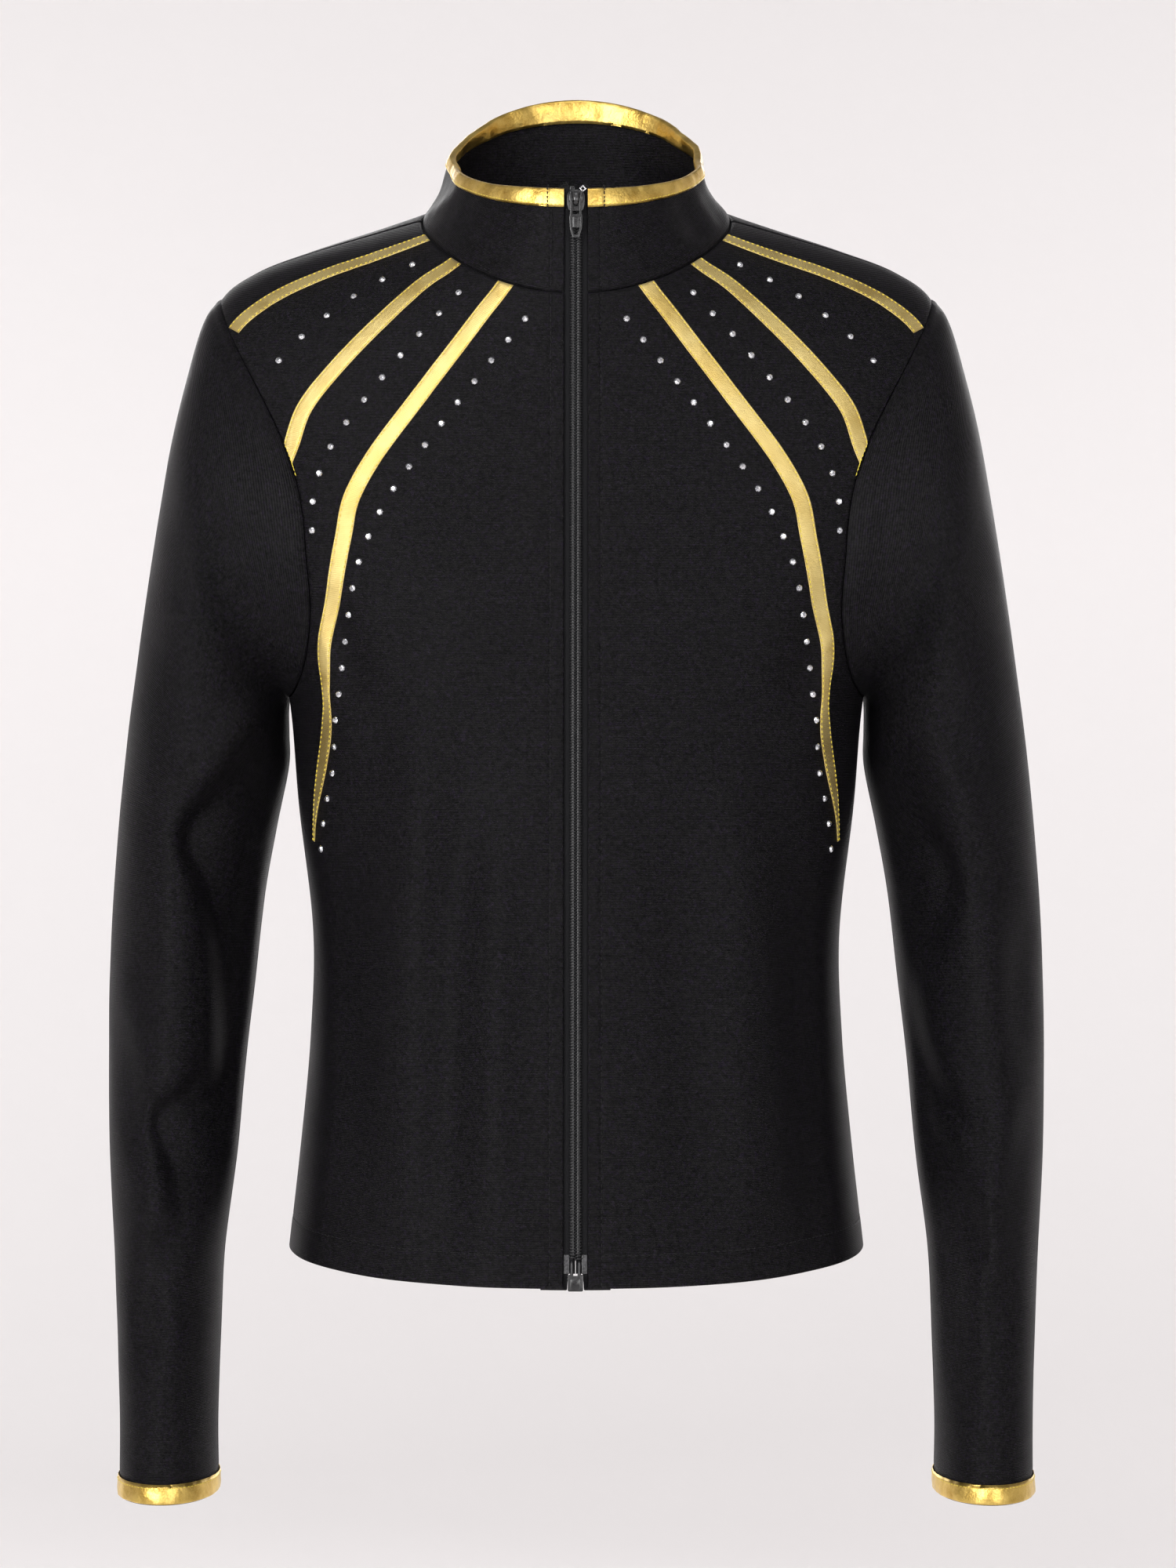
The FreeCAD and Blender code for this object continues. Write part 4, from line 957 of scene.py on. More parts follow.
FOIL_THICK = 0.3
FOIL_INSET = 0.97
FOIL_PINCH = 0.28
COLLAR_FOIL_FACE, COLLAR_FOIL_BACK, COLLAR_FOIL_SEED = 0.45, 2.7, 31
CUFF_FOIL_FACE, CUFF_FOIL_BACK, CUFF_FOIL_SEEDS = 0.5, 1.15, {"left": 35, "right": 37}
CUFF_FOIL_START = LAST_CUFF - 0.985
CROSS_STITCH_FROM_EDGE = 7.2


def fold_profile(low, high, unit, face, back, count=7):
    """Stations and heights of a strip folded over an edge: up the face, round the edge, down the back."""
    radius = (face + back) / 2
    up = np.linspace(low, high, count)
    swell = foil_swell(np.linspace(0, 1, count))
    around = np.linspace(0, math.pi, 9)[1:-1]
    station = np.concatenate([up, high + radius * 0.8 * np.sin(around) / unit, up[::-1]])
    height = np.concatenate([face + swell, (face - back) / 2 + radius * np.cos(around), -back - swell])
    return station, height


def foil_swell(share):
    """How far the foil stands off the cloth between its stitched edge and the fold."""
    return 0.28 * np.sin(share * math.pi)


def foil_wrinkle(points, seed):
    return ripples(points, seed, 9, 0.10) + ripples(points, seed + 1, 4.2, 0.05)


def folded_strip(name, place, across, low, high, unit, face, back, wrap, seed, dents=None):
    """Foil strip folded over a cloth edge, its two raw edges turned under, lightly wrinkled."""
    station, height = fold_profile(low, high, unit, face, back)
    thick = np.ones((len(station), 1))
    thick[[0, -1]] = 0.35
    columns = len(across)
    stations = np.broadcast_to(station[:, None], (len(station), columns))
    heights = np.broadcast_to(height[:, None], stations.shape)
    middle = (face - back) / 2
    reach = heights - middle
    flat = place(across[None, :], stations, heights)
    wrinkle = foil_wrinkle(flat, seed)
    if dents is not None:
        reach = reach * (1 - FOIL_PINCH * dents[None, :])
    outer = place(across[None, :], stations, middle + reach + np.sign(reach) * wrinkle)
    lining = reach * (1 - FOIL_THICK * thick / np.maximum(0.5, np.abs(heights - middle)))
    inner = place(across[None, :], high - (high - stations) * FOIL_INSET, middle + lining)
    run = mean_run_along(flat)
    lengths = np.linalg.norm(np.diff(flat[len(station) // 2], axis=0), axis=-1)
    length = np.concatenate([[0], np.cumsum(lengths)])
    if wrap:
        length = np.concatenate([length, [length[-1] + lengths[-1]]])
    coords = np.stack(np.broadcast_arrays(length[None, :], run[:, None]), -1)
    return shell(name, outer, inner, coords, GOLD, wrap=wrap)


def collar_binding():
    angle, distance, length = collar_rows(FRONT_EDGE, 260)
    edge = np.minimum(distance, length - distance)
    pinch = np.exp(-((edge - CROSS_STITCH_FROM_EDGE) / 0.55) ** 2)

    def place(angles, stations, heights):
        points = collar(angles, stations)
        lined = heights - lining_depth(points[..., 0], points[..., 1]) + 1.0
        heights = np.where(heights < -0.6, lined, heights)
        return collar_place(collar_angle(angles, np.minimum(stations, 2.2), FRONT_EDGE), stations, heights)

    return folded_strip("collar_binding_foil", place, angle, COLLAR_EDGE, LAST_COLLAR - 0.06, 23.0,
                        COLLAR_FOIL_FACE, COLLAR_FOIL_BACK, False, COLLAR_FOIL_SEED, pinch)


def cuff_binding(name):
    turn = np.linspace(0, 360, 201)[:-1]

    def place(turns, stations, heights):
        return sleeve_place(name, turns, stations, heights)

    return folded_strip("cuff_binding_foil_" + name, place, turn, CUFF_FOIL_START, LAST_CUFF - 0.1, 8.5,
                        CUFF_FOIL_FACE, CUFF_FOIL_BACK, True, CUFF_FOIL_SEEDS[name])


# ---------------------------------------------------------------- stripes, stones and stitching

def side_steps(route, at, distance):
    """Torso coordinates beside a route, kept inside the armhole seam."""
    def place(shift):
        angle, station = np.moveaxis(spline(route, at + shift), -1, 0)
        return angle, station
    angle, station = place(0)
    ahead = torso(*place(0.05)) - torso(*place(-0.05))
    side = np.cross(normals(torso, angle, station), ahead)
    side = side / np.linalg.norm(side, axis=-1, keepdims=True)
    by_angle = torso(angle + 0.5, station) - torso(angle - 0.5, station)
    by_station = (torso(angle, station + 0.02) - torso(angle, station - 0.02)) * 25
    aa, bb, ab = (by_angle ** 2).sum(-1), (by_station ** 2).sum(-1), (by_angle * by_station).sum(-1)
    sa, sb = (side * by_angle).sum(-1), (side * by_station).sum(-1)
    spread = aa * bb - ab * ab
    distance = np.asarray(distance, float)
    angles = angle[:, None] + distance * ((sa * bb - sb * ab) / spread)[:, None]
    stations = station[:, None] + distance * ((sb * aa - sa * ab) / spread)[:, None]
    seam = 90 - ARMHOLE_FRONT * armhole_bulge(stations)
    return np.minimum(angles, seam - 0.4), stations


COLLAR_SEAM = 0.035


def route_steps(route, spacing):
    """Even steps along a route, which starts just above the collar seam."""
    fine = np.linspace(-0.3, len(route) - 1, 40 * len(route))
    points = torso(*np.moveaxis(spline(route, fine), -1, 0))
    run = run_along(points)
    return np.interp(np.linspace(0, run[-1], int(run[-1] / spacing) + 1), run, fine), run[-1]


def cut_at_collar(angles, stations):
    """Rows beside a route, drawn down so that each column starts at the collar seam."""
    rows = np.arange(len(angles))
    starts = [np.interp(COLLAR_SEAM, column, rows) for column in stations.T]
    drawn = [np.linspace(start, rows[-1], len(rows)) for start in starts]
    cut = [np.column_stack([np.interp(at, rows, column) for at, column in zip(drawn, values.T)])
           for values in (angles, stations)]
    return cut[0], cut[1]


STRIPE_HALF = 3.7
STRIPE_STITCH = 2.95
STRIPE_EDGE_ROUND = 0.22
STRIPE_HALF_COLUMNS = (0.2, 0.5, 0.7, 0.8, 0.87, 0.94, 0.985, 1)
# Pitch, length and half thickness of each kind of stitch.
STRIPE_STITCHES = (2.1, 1.5, 0.19)
TOPSTITCH = (2.6, 1.9, 0.13)
EDGE_STITCH = (1.9, 1.3, 0.13)
CROSS_STITCHES = (1.7, 1.6, 0.22)
CROSS_STITCH = 12.0


def stripe_share(place, share):
    """Width left where the cloth gathers under the arm: the long stripe narrows once and then runs out."""
    if place != "inner":
        return np.ones_like(share)
    return 1 - 0.78 * smooth(0.87, 1, share) - 0.38 * np.exp(-((share - 0.76) / 0.04) ** 2)


def stripe(name, place, sign):
    """Foil strip with both edges turned under and stitched down, so that it stands up a little between."""
    route = STRIPES[place]
    at, length = route_steps(route, 1.2)
    half = np.array(STRIPE_HALF_COLUMNS) * STRIPE_HALF
    distance = np.concatenate([-half[::-1], half])
    share = stripe_share(place, np.linspace(0, 1, len(at)))[:, None]
    angles, stations = cut_at_collar(*side_steps(route, at, distance * share))
    run = np.linspace(0, length, len(at))[:, None]
    across = np.broadcast_to(distance, angles.shape)
    rise = edge_share(STRIPE_HALF - np.abs(across), STRIPE_EDGE_ROUND)
    rise = rise * edge_share(length - run, STRIPE_EDGE_ROUND)
    body = 0.30 - 0.11 * np.exp(-((np.abs(across) - STRIPE_STITCH) / 0.3) ** 2)
    body = body - 0.45 * (1 - smooth(0, 1.6, run))
    points = torso(angles, stations)
    body = body + ripples(points, 41, 11, 0.05) + ripples(points, 43, 4.5, 0.025)
    outer = torso_place(sign * angles, stations, 0.22 + body * rise)
    inner = torso_place(sign * angles, stations, 0.22 - 0.24 * rise)
    coords = np.stack([across, np.broadcast_to(run, across.shape)], -1)
    return shell("stripe_foil_%s_%s" % (place, name), outer, inner, coords, FOIL)


def stripe_stitches(name, place, sign):
    """Yellow lockstitch along both edges of a stripe."""
    route = STRIPES[place]
    at, length = route_steps(route, 0.6)
    lines = []
    share = stripe_share(place, np.linspace(0, 1, len(at)))[:, None]
    for number, distance in enumerate((-STRIPE_STITCH, STRIPE_STITCH)):
        angles, stations = cut_at_collar(*side_steps(route, at, distance * share))
        points = torso_place(sign * angles[:, 0], stations[:, 0], 0.36)
        up = normals(torso, sign * angles[:, 0], stations[:, 0])
        lines.append(stitch_line(points, up, *STRIPE_STITCHES, seed=number))
    return new_object("stripe_stitches_%s_%s" % (place, name), *joined(lines), YELLOW_THREAD)


STONE_GIRDLE = (1.45, 0.22)
STONE_CROWN = (1.12, 0.72)
STONE_TABLE = (0.72, 1.02)


def stone_shape():
    """Faceted flat-backed stone: girdle, two rows of crown facets and a table."""
    turn16 = np.linspace(0, 2 * math.pi, 16, endpoint=False)
    turn8 = turn16[::2]
    rings = [(STONE_GIRDLE[0], 0.0, turn16), (*STONE_GIRDLE, turn16), (*STONE_CROWN, turn8 + math.pi / 8),
             (*STONE_TABLE, turn8)]
    points = np.concatenate([np.stack([r * np.cos(t), r * np.sin(t), np.full(len(t), h)], -1)
                             for r, h, t in rings])
    faces = [list(range(16))[::-1], list(range(40, 48))]
    faces += [[i, (i + 1) % 16, 16 + (i + 1) % 16, 16 + i] for i in range(16)]
    for i in range(8):
        left, middle, right = 16 + 2 * i, 16 + 2 * i + 1, 16 + (2 * i + 2) % 16
        low, after = 32 + i, 32 + (i + 1) % 8
        faces += [[left, middle, low], [middle, right, low], [low, right, after]]
        faces += [[low, after, 40 + (i + 1) % 8], [low, 40 + (i + 1) % 8, 40 + i]]
    return points, faces


def stones(name, place, sign):
    """Row of stones glued to the cloth, each turned its own way."""
    count, route = STONE_ROWS[place]
    fine = np.linspace(0, len(route) - 1, 20 * len(route))
    coordinates = spline(route, fine)
    points = torso(coordinates[:, 0], coordinates[:, 1])
    run = run_along(points)
    angle = np.interp(np.linspace(0, run[-1], count), run, coordinates[:, 0]) * sign
    station = np.interp(np.linspace(0, run[-1], count), run, coordinates[:, 1])
    centre = torso_place(angle, station, 0.05)
    right = torso_place(angle + 0.6, station, 0.05) - torso_place(angle - 0.6, station, 0.05)
    down = torso_place(angle, station + 0.03, 0.05) - torso_place(angle, station - 0.03, 0.05)
    up = np.cross(down, right)
    up /= np.linalg.norm(up, axis=-1, keepdims=True)
    right /= np.linalg.norm(right, axis=-1, keepdims=True)
    side = np.cross(up, right)
    shape, faces = stone_shape()
    dice = np.random.default_rng(50 + count)
    parts = []
    for i in range(count):
        spin, tilt = dice.uniform(0, math.pi), dice.normal(0, 0.05, 2)
        cos, sin = math.cos(spin), math.sin(spin)
        x, y = shape[:, 0] * cos - shape[:, 1] * sin, shape[:, 0] * sin + shape[:, 1] * cos
        z = shape[:, 2] + tilt[0] * x + tilt[1] * y
        parts.append((centre[i] + right[i] * x[:, None] + side[i] * y[:, None] + up[i] * z[:, None], faces))
    return new_object("stone_row_%s_%s" % (place, name), *joined(parts), STONE, sharp=1)


def torso_line(angle, station, height):
    """Fine line of points over the torso, and its outward directions."""
    return torso_place(angle, station, height), normals(torso, angle, station)


def hem_stitches(name, start, stop):
    """Topstitching round the hem between two angles."""
    angle = np.linspace(start, stop, 900)
    fine = np.linspace(12.5, 13, 60)
    points = torso(angle[:, None], fine[None, :])
    left = np.linalg.norm(points - points[:, -1:], axis=-1)
    station = np.array([np.interp(HEM_TURN_UP, row[::-1], fine[::-1]) for row in left])
    points, up = torso_line(angle, station, -0.2)
    return new_object(name, *stitch_line(points, up, *TOPSTITCH, seed=61), BLACK_THREAD)


def zip_stitches(name, sign):
    """Topstitching beside the zip, from the hem up through the collar."""
    across = FRONT_EDGE + ZIP_TOPSTITCH
    station = np.linspace(0.05, 12.99, 900)
    angle = np.degrees(np.arctan2(across, front_depth(spline(RINGS, station)[:, 2])))
    points, up = torso_line(sign * angle, station, -0.22)
    upper = np.linspace(0.05, COLLAR_EDGE - 0.02, 60)
    upper_angle = sign * np.degrees(np.arctan2(across, front_depth(spline(COLLAR_RINGS, upper)[:, 2])))
    upper_points = collar_place(upper_angle, upper, -0.22)
    upper_up = normals(collar, upper_angle, upper)
    lines = [stitch_line(points, up, *TOPSTITCH, seed=63),
             stitch_line(upper_points, upper_up, *TOPSTITCH, seed=64)]
    return new_object("zip_topstitch_" + name, *joined(lines), BLACK_THREAD)


def collar_binding_stitches():
    """Yellow stitching just above the lower edge of the collar's gold strip."""
    angle, distance, length = collar_rows(FRONT_EDGE + 0.8, 400)
    station = np.full(len(angle), COLLAR_EDGE + 0.05)
    angles = collar_angle(angle, station, FRONT_EDGE + 0.8)
    wrinkle = foil_wrinkle(collar_place(angles, station, COLLAR_FOIL_FACE), COLLAR_FOIL_SEED)
    points = collar_place(angles, station, COLLAR_FOIL_FACE + foil_swell(0.12) + wrinkle)
    stitches = stitch_line(points, normals(collar, angles, station), *EDGE_STITCH, seed=65)
    return new_object("collar_edge_stitches", *stitches, YELLOW_THREAD)


def cross_stitches(name, sign):
    """Black stitching across the collar's gold strip beside its short end piece, over the top edge."""
    low = np.linspace(COLLAR_EDGE - 0.02, LAST_COLLAR - 0.03, 24)
    angle = sign * np.degrees(np.arctan2(CROSS_STITCH, front_depth(spline(COLLAR_RINGS, low)[:, 2])))
    face = collar_place(angle, low, 0.42)
    up = normals(collar, angle, low)
    over_angle = np.full(10, angle[-1])
    turn = np.linspace(0, math.pi, 10)
    over = collar_place(over_angle, LAST_COLLAR - 0.02 + 0.055 * np.sin(turn), -1.1 + 1.5 * np.cos(turn))
    over_up = normals(collar, over_angle, np.full(10, LAST_COLLAR - 0.02)) * np.cos(turn)[:, None]
    over_up = over_up + np.array([0, 0.1, 1.0]) * np.sin(turn)[:, None]
    points, upward = np.concatenate([face, over]), np.concatenate([up, over_up])
    stitches = stitch_line(points, upward, *CROSS_STITCHES, seed=66)
    return new_object("collar_cross_stitch_" + name, *stitches, BLACK_THREAD)


def cuff_stitches(name):
    """Yellow stitching just below the upper edge of the cuff's gold strip."""
    turn = np.linspace(0, 360, 600)
    station = np.full(600, CUFF_FOIL_START + 0.12)
    wrinkle = foil_wrinkle(sleeve_place(name, turn, station, CUFF_FOIL_FACE), CUFF_FOIL_SEEDS[name])
    points = sleeve_place(name, turn, station, CUFF_FOIL_FACE + foil_swell(0.13) + wrinkle)
    mirror = to_side(name)
    up = normals(sleeve, turn, station) * mirror
    stitches = stitch_line(points, up, *EDGE_STITCH, seed=67)
    return new_object("cuff_edge_stitches_" + name, *stitches, YELLOW_THREAD)


ALLOWANCE_DEPTH = 1.35
ALLOWANCE_HALF = 0.2
ALLOWANCE_FROM, ALLOWANCE_TO = -0.6, 6.0


def seam_allowances():
    """Overlocked allowances inside the shoulder and side seams, pressed to the back."""
    pieces = []
    for name, sign in SIDES:
        for label, first, last in (("shoulder", 0.05, ARMHOLE_HIGH), ("side", ARMHOLE_LOW, 12.7)):
            station = np.linspace(first, last, 90)[:, None]
            distance = np.array([ALLOWANCE_FROM, -0.3, 1.5, 3.5, 5.5, ALLOWANCE_TO])[None, :]
            width = spline(RINGS, station[:, 0])[:, 0][:, None]
            angle = sign * (90 + np.degrees(distance / width))
            stations = np.broadcast_to(station, angle.shape)
            ends = edge_share(np.minimum(distance - ALLOWANCE_FROM, ALLOWANCE_TO - distance), 0.3)
            outer = torso_place(angle, stations, ALLOWANCE_HALF * ends - ALLOWANCE_DEPTH)
            inner = torso_place(angle, stations, -ALLOWANCE_HALF * ends - ALLOWANCE_DEPTH)
            run = np.linspace(0, 250, len(station))[:, None]
            coords = np.stack(np.broadcast_arrays(distance, run), -1)
            pieces.append(shell("%s_seam_allowance_%s" % (label, name), outer, inner, coords, KNIT))
    return pieces


def allowance_band(name, points, outward, length):
    """Closed narrow strip of cloth along rows of points, with thin edges."""
    thin = np.array([0.3] + [1.0] * (len(points) - 2) + [0.3])[:, None, None] * 0.22
    columns = points.shape[1]
    coords = np.stack(np.broadcast_arrays(np.linspace(0, length, columns + 1)[None, :],
                                          np.linspace(0, 8, len(points))[:, None]), -1)
    return shell(name, points + outward * thin, points - outward * thin, coords, KNIT, wrap=True)


def armhole_allowance(name):
    """Overlocked allowance inside the armhole seam, from the body's cloth to the sleeve's."""
    turn = np.linspace(0, 360, 181)[:-1]
    mirror = to_side(name)
    angle, station = armhole(turn)
    middle = (ARMHOLE_HIGH + ARMHOLE_LOW) / 2
    rows = []
    for spread in (1.07, 1.04, 1.015):
        place = (90 + (angle - 90) * spread, middle + (station - middle) * spread)
        rows.append((torso(*place), normals(torso, *place)))
    between = normals(torso, angle, station) + normals(sleeve, turn, np.zeros(len(turn)))
    rows.append((torso(angle, station), between / np.linalg.norm(between, axis=-1, keepdims=True)))
    for along in (0.04, 0.1, 0.17):
        place = (turn, np.full(len(turn), along))
        rows.append((sleeve(*place), normals(sleeve, *place)))
    points = np.stack([row[0] for row in rows]) * mirror
    outward = np.stack([row[1] for row in rows]) * mirror
    return allowance_band("armhole_allowance_" + name, points - outward * 1.7, outward, 420)


def neck_seam_tape():
    """Tape that covers the neck seam inside, from the body's cloth to the collar's lining."""
    columns = 240
    angle = np.linspace(16, 344, columns)
    rows = []
    for surface, place, lines in ((torso, torso_place, ((0.22, 1.75), (0.12, 1.85), (0.03, 2.1))),
                                  (collar, collar_place, ((0.04, 2.35), (0.14, 2.45), (0.26, 2.45)))):
        for at, depth in lines:
            station = np.full(columns, at)
            rows.append((place(angle, station, -depth), normals(surface, angle, station)))
    points, outward = np.stack([row[0] for row in rows]), np.stack([row[1] for row in rows])
    thin = np.array([0.3, 1, 1, 1, 1, 0.3])[:, None, None] * 0.2
    coords = np.stack(np.broadcast_arrays(np.linspace(0, 380, columns)[None, :],
                                          np.linspace(0, 9, len(rows))[:, None]), -1)
    return shell("neck_seam_tape", points + outward * thin, points - outward * thin, coords, TAPE)


# ---------------------------------------------------------------- zip

ZIP_LENGTH = math.hypot(1, FRONT_LEAN)
ZIP_UP = np.array([0, FRONT_LEAN, 1]) / ZIP_LENGTH
ZIP_OUT = np.array([0, -1, FRONT_LEAN]) / ZIP_LENGTH
ZIP_BASE = np.array([0, -FRONT_FORWARD, 0])
COIL_PITCH = 1.17
COIL_FOOT, COIL_TOP = -436.0, 2.4
TAPE_FOOT = -448.0
TAPE_INNER, TAPE_OUTER = 0.12, 14.0
TAPE_DEPTH = -1.7
COIL_SIDE, COIL_DEPTH, COIL_WIRE = 1.1, -0.42, 0.27
FILM_DEPTH = -1.22
PULL_DEPTH = 2.85
BOX_TOP, BOX_FOOT = -441.8, -448.4


def zip_frame(points, lift=0.0):
    """Points given flat, X across, Y up along the zip, Z out of the cloth, moved to the centre front."""
    points = np.asarray(points, float)
    return (ZIP_BASE + points[..., :1] * np.array([1.0, 0, 0]) + (points[..., 1:2] + lift) * ZIP_UP
            + points[..., 2:3] * ZIP_OUT)


def zip_piece(name, parts, material, sharp=35, lift=0.0):
    points, faces = joined(parts)
    return new_object(name, zip_frame(points, lift), faces, material, sharp=sharp)


def front_bend(along):
    """How fast the front curves away from the centre line, for each place along the zip."""
    z = along * ZIP_UP[2]
    fine = np.linspace(0, LAST_RING, 200)
    widths = np.interp(-z, -spline(RINGS, fine)[:, 2], spline(RINGS, fine)[:, 0])
    upper = np.linspace(0, LAST_COLLAR, 60)
    collar_widths = np.interp(z, spline(COLLAR_RINGS, upper)[:, 2], spline(COLLAR_RINGS, upper)[:, 0])
    width = np.where(z > RINGS[0, 2], collar_widths, widths)
    return front_depth(z) / (2 * width ** 2)


def tape_top(x, sign):
    """Height of the cut upper end of a tape: ragged on the wearer's right, folded to a peak on the left."""
    if sign > 0:
        return np.interp(x, [0.7, 1.6, 3.6, 5.2, 6.6, 14.0], [2.6, 4.6, 6.3, 5.6, 3.4, 2.0])
    teeth = 0.55 * np.abs(((x * 1.45) % 1) - 0.5)
    return np.interp(x, [0.7, 2.6, 3.4, 5.6, 7.2, 14.0], [3.0, 4.2, 6.1, 5.9, 4.2, 2.0]) + teeth


def zip_tape(name, sign):
    """Woven tape that carries one coil; its inner edge shows beside the coil."""
    x = np.concatenate([np.linspace(TAPE_INNER, 7.4, 26), [8.5, 10, 12, 13.6, TAPE_OUTER]])
    share = np.concatenate([np.linspace(0, 0.97, 220), np.linspace(0.975, 1, 12)])[:, None]
    along = TAPE_FOOT + (tape_top(x, sign)[None, :] - TAPE_FOOT) * share
    notch = smooth(2.9, 3.4, np.abs(x))[None, :]
    along = np.maximum(along, BOX_TOP + 0.35 - (BOX_TOP + 0.35 - TAPE_FOOT) * notch)
    bend = front_bend(along) * x[None, :] ** 2
    top_curl = 0.9 * smooth(1.5, 6.5, along) * np.sin(x[None, :] * 0.9)
    ends = edge_share(np.minimum(x - TAPE_INNER, TAPE_OUTER - x), 0.3)[None, :]
    ends = ends * edge_share((1 - share) * 400, 0.3)
    flats = []
    for face in (1, -1):
        flat = np.stack([sign * np.broadcast_to(x, along.shape), along,
                         TAPE_DEPTH + face * 0.28 * ends + top_curl], -1)
        flats.append(zip_frame(flat) + bend[..., None] * np.array([0, 1.0, 0]))
    coords = np.stack([np.broadcast_to(x, along.shape), along], -1)
    return shell("tape_cloth_" + name, flats[0], flats[1], coords, TAPE)


def coil_line(sign, along):
    """Middle line of one half of the coil, in the zip's flat coordinates."""
    return np.stack([np.full(len(along), sign * COIL_SIDE), along, np.full(len(along), COIL_DEPTH)], -1)


def coil(name, sign):
    """One half of the coil: a flattened helix whose heads lock into those of the other half."""
    turns = (COIL_TOP - COIL_FOOT) / COIL_PITCH
    steps = int(turns * 14)
    turn = np.linspace(0, turns * 2 * math.pi, steps)
    along = COIL_FOOT + turn / (2 * math.pi) * COIL_PITCH + (0.5 * COIL_PITCH if sign < 0 else 0)
    reach = np.cos(turn)
    x = sign * (COIL_SIDE - 1.22 * reach)
    depth = COIL_DEPTH + 0.72 * np.sin(turn)
    lean = 0.10 * np.sin(turn) * COIL_PITCH
    path = zip_frame(np.stack([x, along + lean, depth], -1))
    centre = zip_frame(coil_line(sign, along))
    head = 1 + 0.28 * smooth(0.75, 1.0, reach)
    parts = [tube(path, path - centre, COIL_WIRE * head, COIL_WIRE, 6)]
    core = zip_frame(coil_line(sign, np.linspace(COIL_FOOT + 1, COIL_TOP, 240)))
    parts.append(tube(core, ZIP_OUT, 0.72, 0.36, 8))
    return new_object("coil_" + name, *joined(parts), NYLON)


def coil_stitches(name, sign):
    """Two rows of thread that sew the coil down to its tape."""
    along = np.linspace(COIL_FOOT, COIL_TOP, 1200)
    lines = []
    for x, height in ((1.35, 0.42), (1.95, 0.42 - 0.12)):
        flat = np.stack([np.full(len(along), sign * x), along, np.full(len(along), height)], -1)
        up = np.broadcast_to(ZIP_OUT, flat.shape)
        lines.append(stitch_line(zip_frame(flat), up, COIL_PITCH, 0.9, 0.11, seed=71))
    return new_object("coil_stitches_" + name, *joined(lines), BLACK_THREAD)


def frayed_end():
    """Loose threads at the cut upper end of the wearer's right tape."""
    dice = np.random.default_rng(73)
    parts = []
    for number in range(16):
        x = -dice.uniform(3.0, 7.0)
        foot = tape_top(-x, -1) - 0.8
        lean = dice.uniform(-0.7, 0.7)
        rise = dice.uniform(0.8, 1.7)
        share = np.linspace(0, 1, 7)
        depth = TAPE_DEPTH + dice.uniform(-0.4, 0.8) * share
        flat = np.stack([x + lean * share ** 2, foot + rise * share, depth], -1)
        girth = 0.09 * (1.1 - share * 0.6)
        parts.append(tube(zip_frame(flat), ZIP_OUT, girth, girth, 5))
    return new_object("tape_frayed_end", *joined(parts), BLACK_THREAD)


def film(name, sign):
    """Stiffening film on the foot of a tape, wrapped a little round its front."""
    x = np.linspace(2.5, 4.7, 12)
    along = np.linspace(BOX_TOP + 0.3, -434.0, 30)[:, None]
    flats = []
    wave_height = 0.05 * np.sin(along * 2.1) * np.sin(x[None, :] * 2.4)
    for face in (1, -1):
        depth = FILM_DEPTH + face * 0.08 + wave_height
        flat = np.stack(np.broadcast_arrays(sign * x[None, :], along, depth), -1)
        flats.append(zip_frame(flat))
    coords = np.stack(np.broadcast_arrays(x[None, :], along), -1)
    return shell("film_cloth_" + name, flats[0], flats[1], coords, FILM)


def arch(points, half_wide, half_thick, sides=10):
    """Strap bent along points in the zip's YZ plane."""
    fine = spline(points, np.linspace(0, len(points) - 1, 28))
    path = np.stack([np.zeros(len(fine)), fine[:, 0], fine[:, 1]], -1)
    return tube(path, np.cross(np.gradient(path, axis=0), [1.0, 0, 0]), half_wide, half_thick, sides)


SLIDER_LIFT = -2.0


def slider():
    """Slider body: two plates, side flanges, a post, raised shoulders and the bail that holds the pull."""
    outline = rounded([(-2.9, -4.5), (2.9, -4.5), (3.65, -1.3), (3.65, 2.6), (2.3, 4.5), (-2.3, 4.5),
                       (-3.65, 2.6), (-3.65, -1.3)], 1.1)
    parts = [plate([outline], 0.9, 1.95, 0.32, 3), plate([outline], -3.3, -2.4, 0.25)]
    for sign in (1, -1):
        flange = rounded([(sign * 2.85, -3.2), (sign * 3.62, -1.6), (sign * 3.62, 2.5), (sign * 2.85, 3.3)],
                         0.3)
        parts.append(plate([flange], -0.6, 1.2, 0.12))
        parts.append(ellipsoid((sign * 2.25, 1.5, 1.75), (1.05, 2.7, 0.75)))
    parts.append(plate([rounded([(-0.2, 1.2), (0.2, 1.2), (0.2, 4.2), (-0.2, 4.2)], 0.15)], -2.6, 1.1, 0))
    parts.append(arch([(3.9, 1.2), (3.6, 2.6), (2.4, 3.9), (0.6, 4.35), (-1.0, 4.1), (-2.1, 3.0),
                       (-2.35, 1.2)], 0.85, 0.38))
    return zip_piece("slider_body", parts, ENAMEL, lift=SLIDER_LIFT)


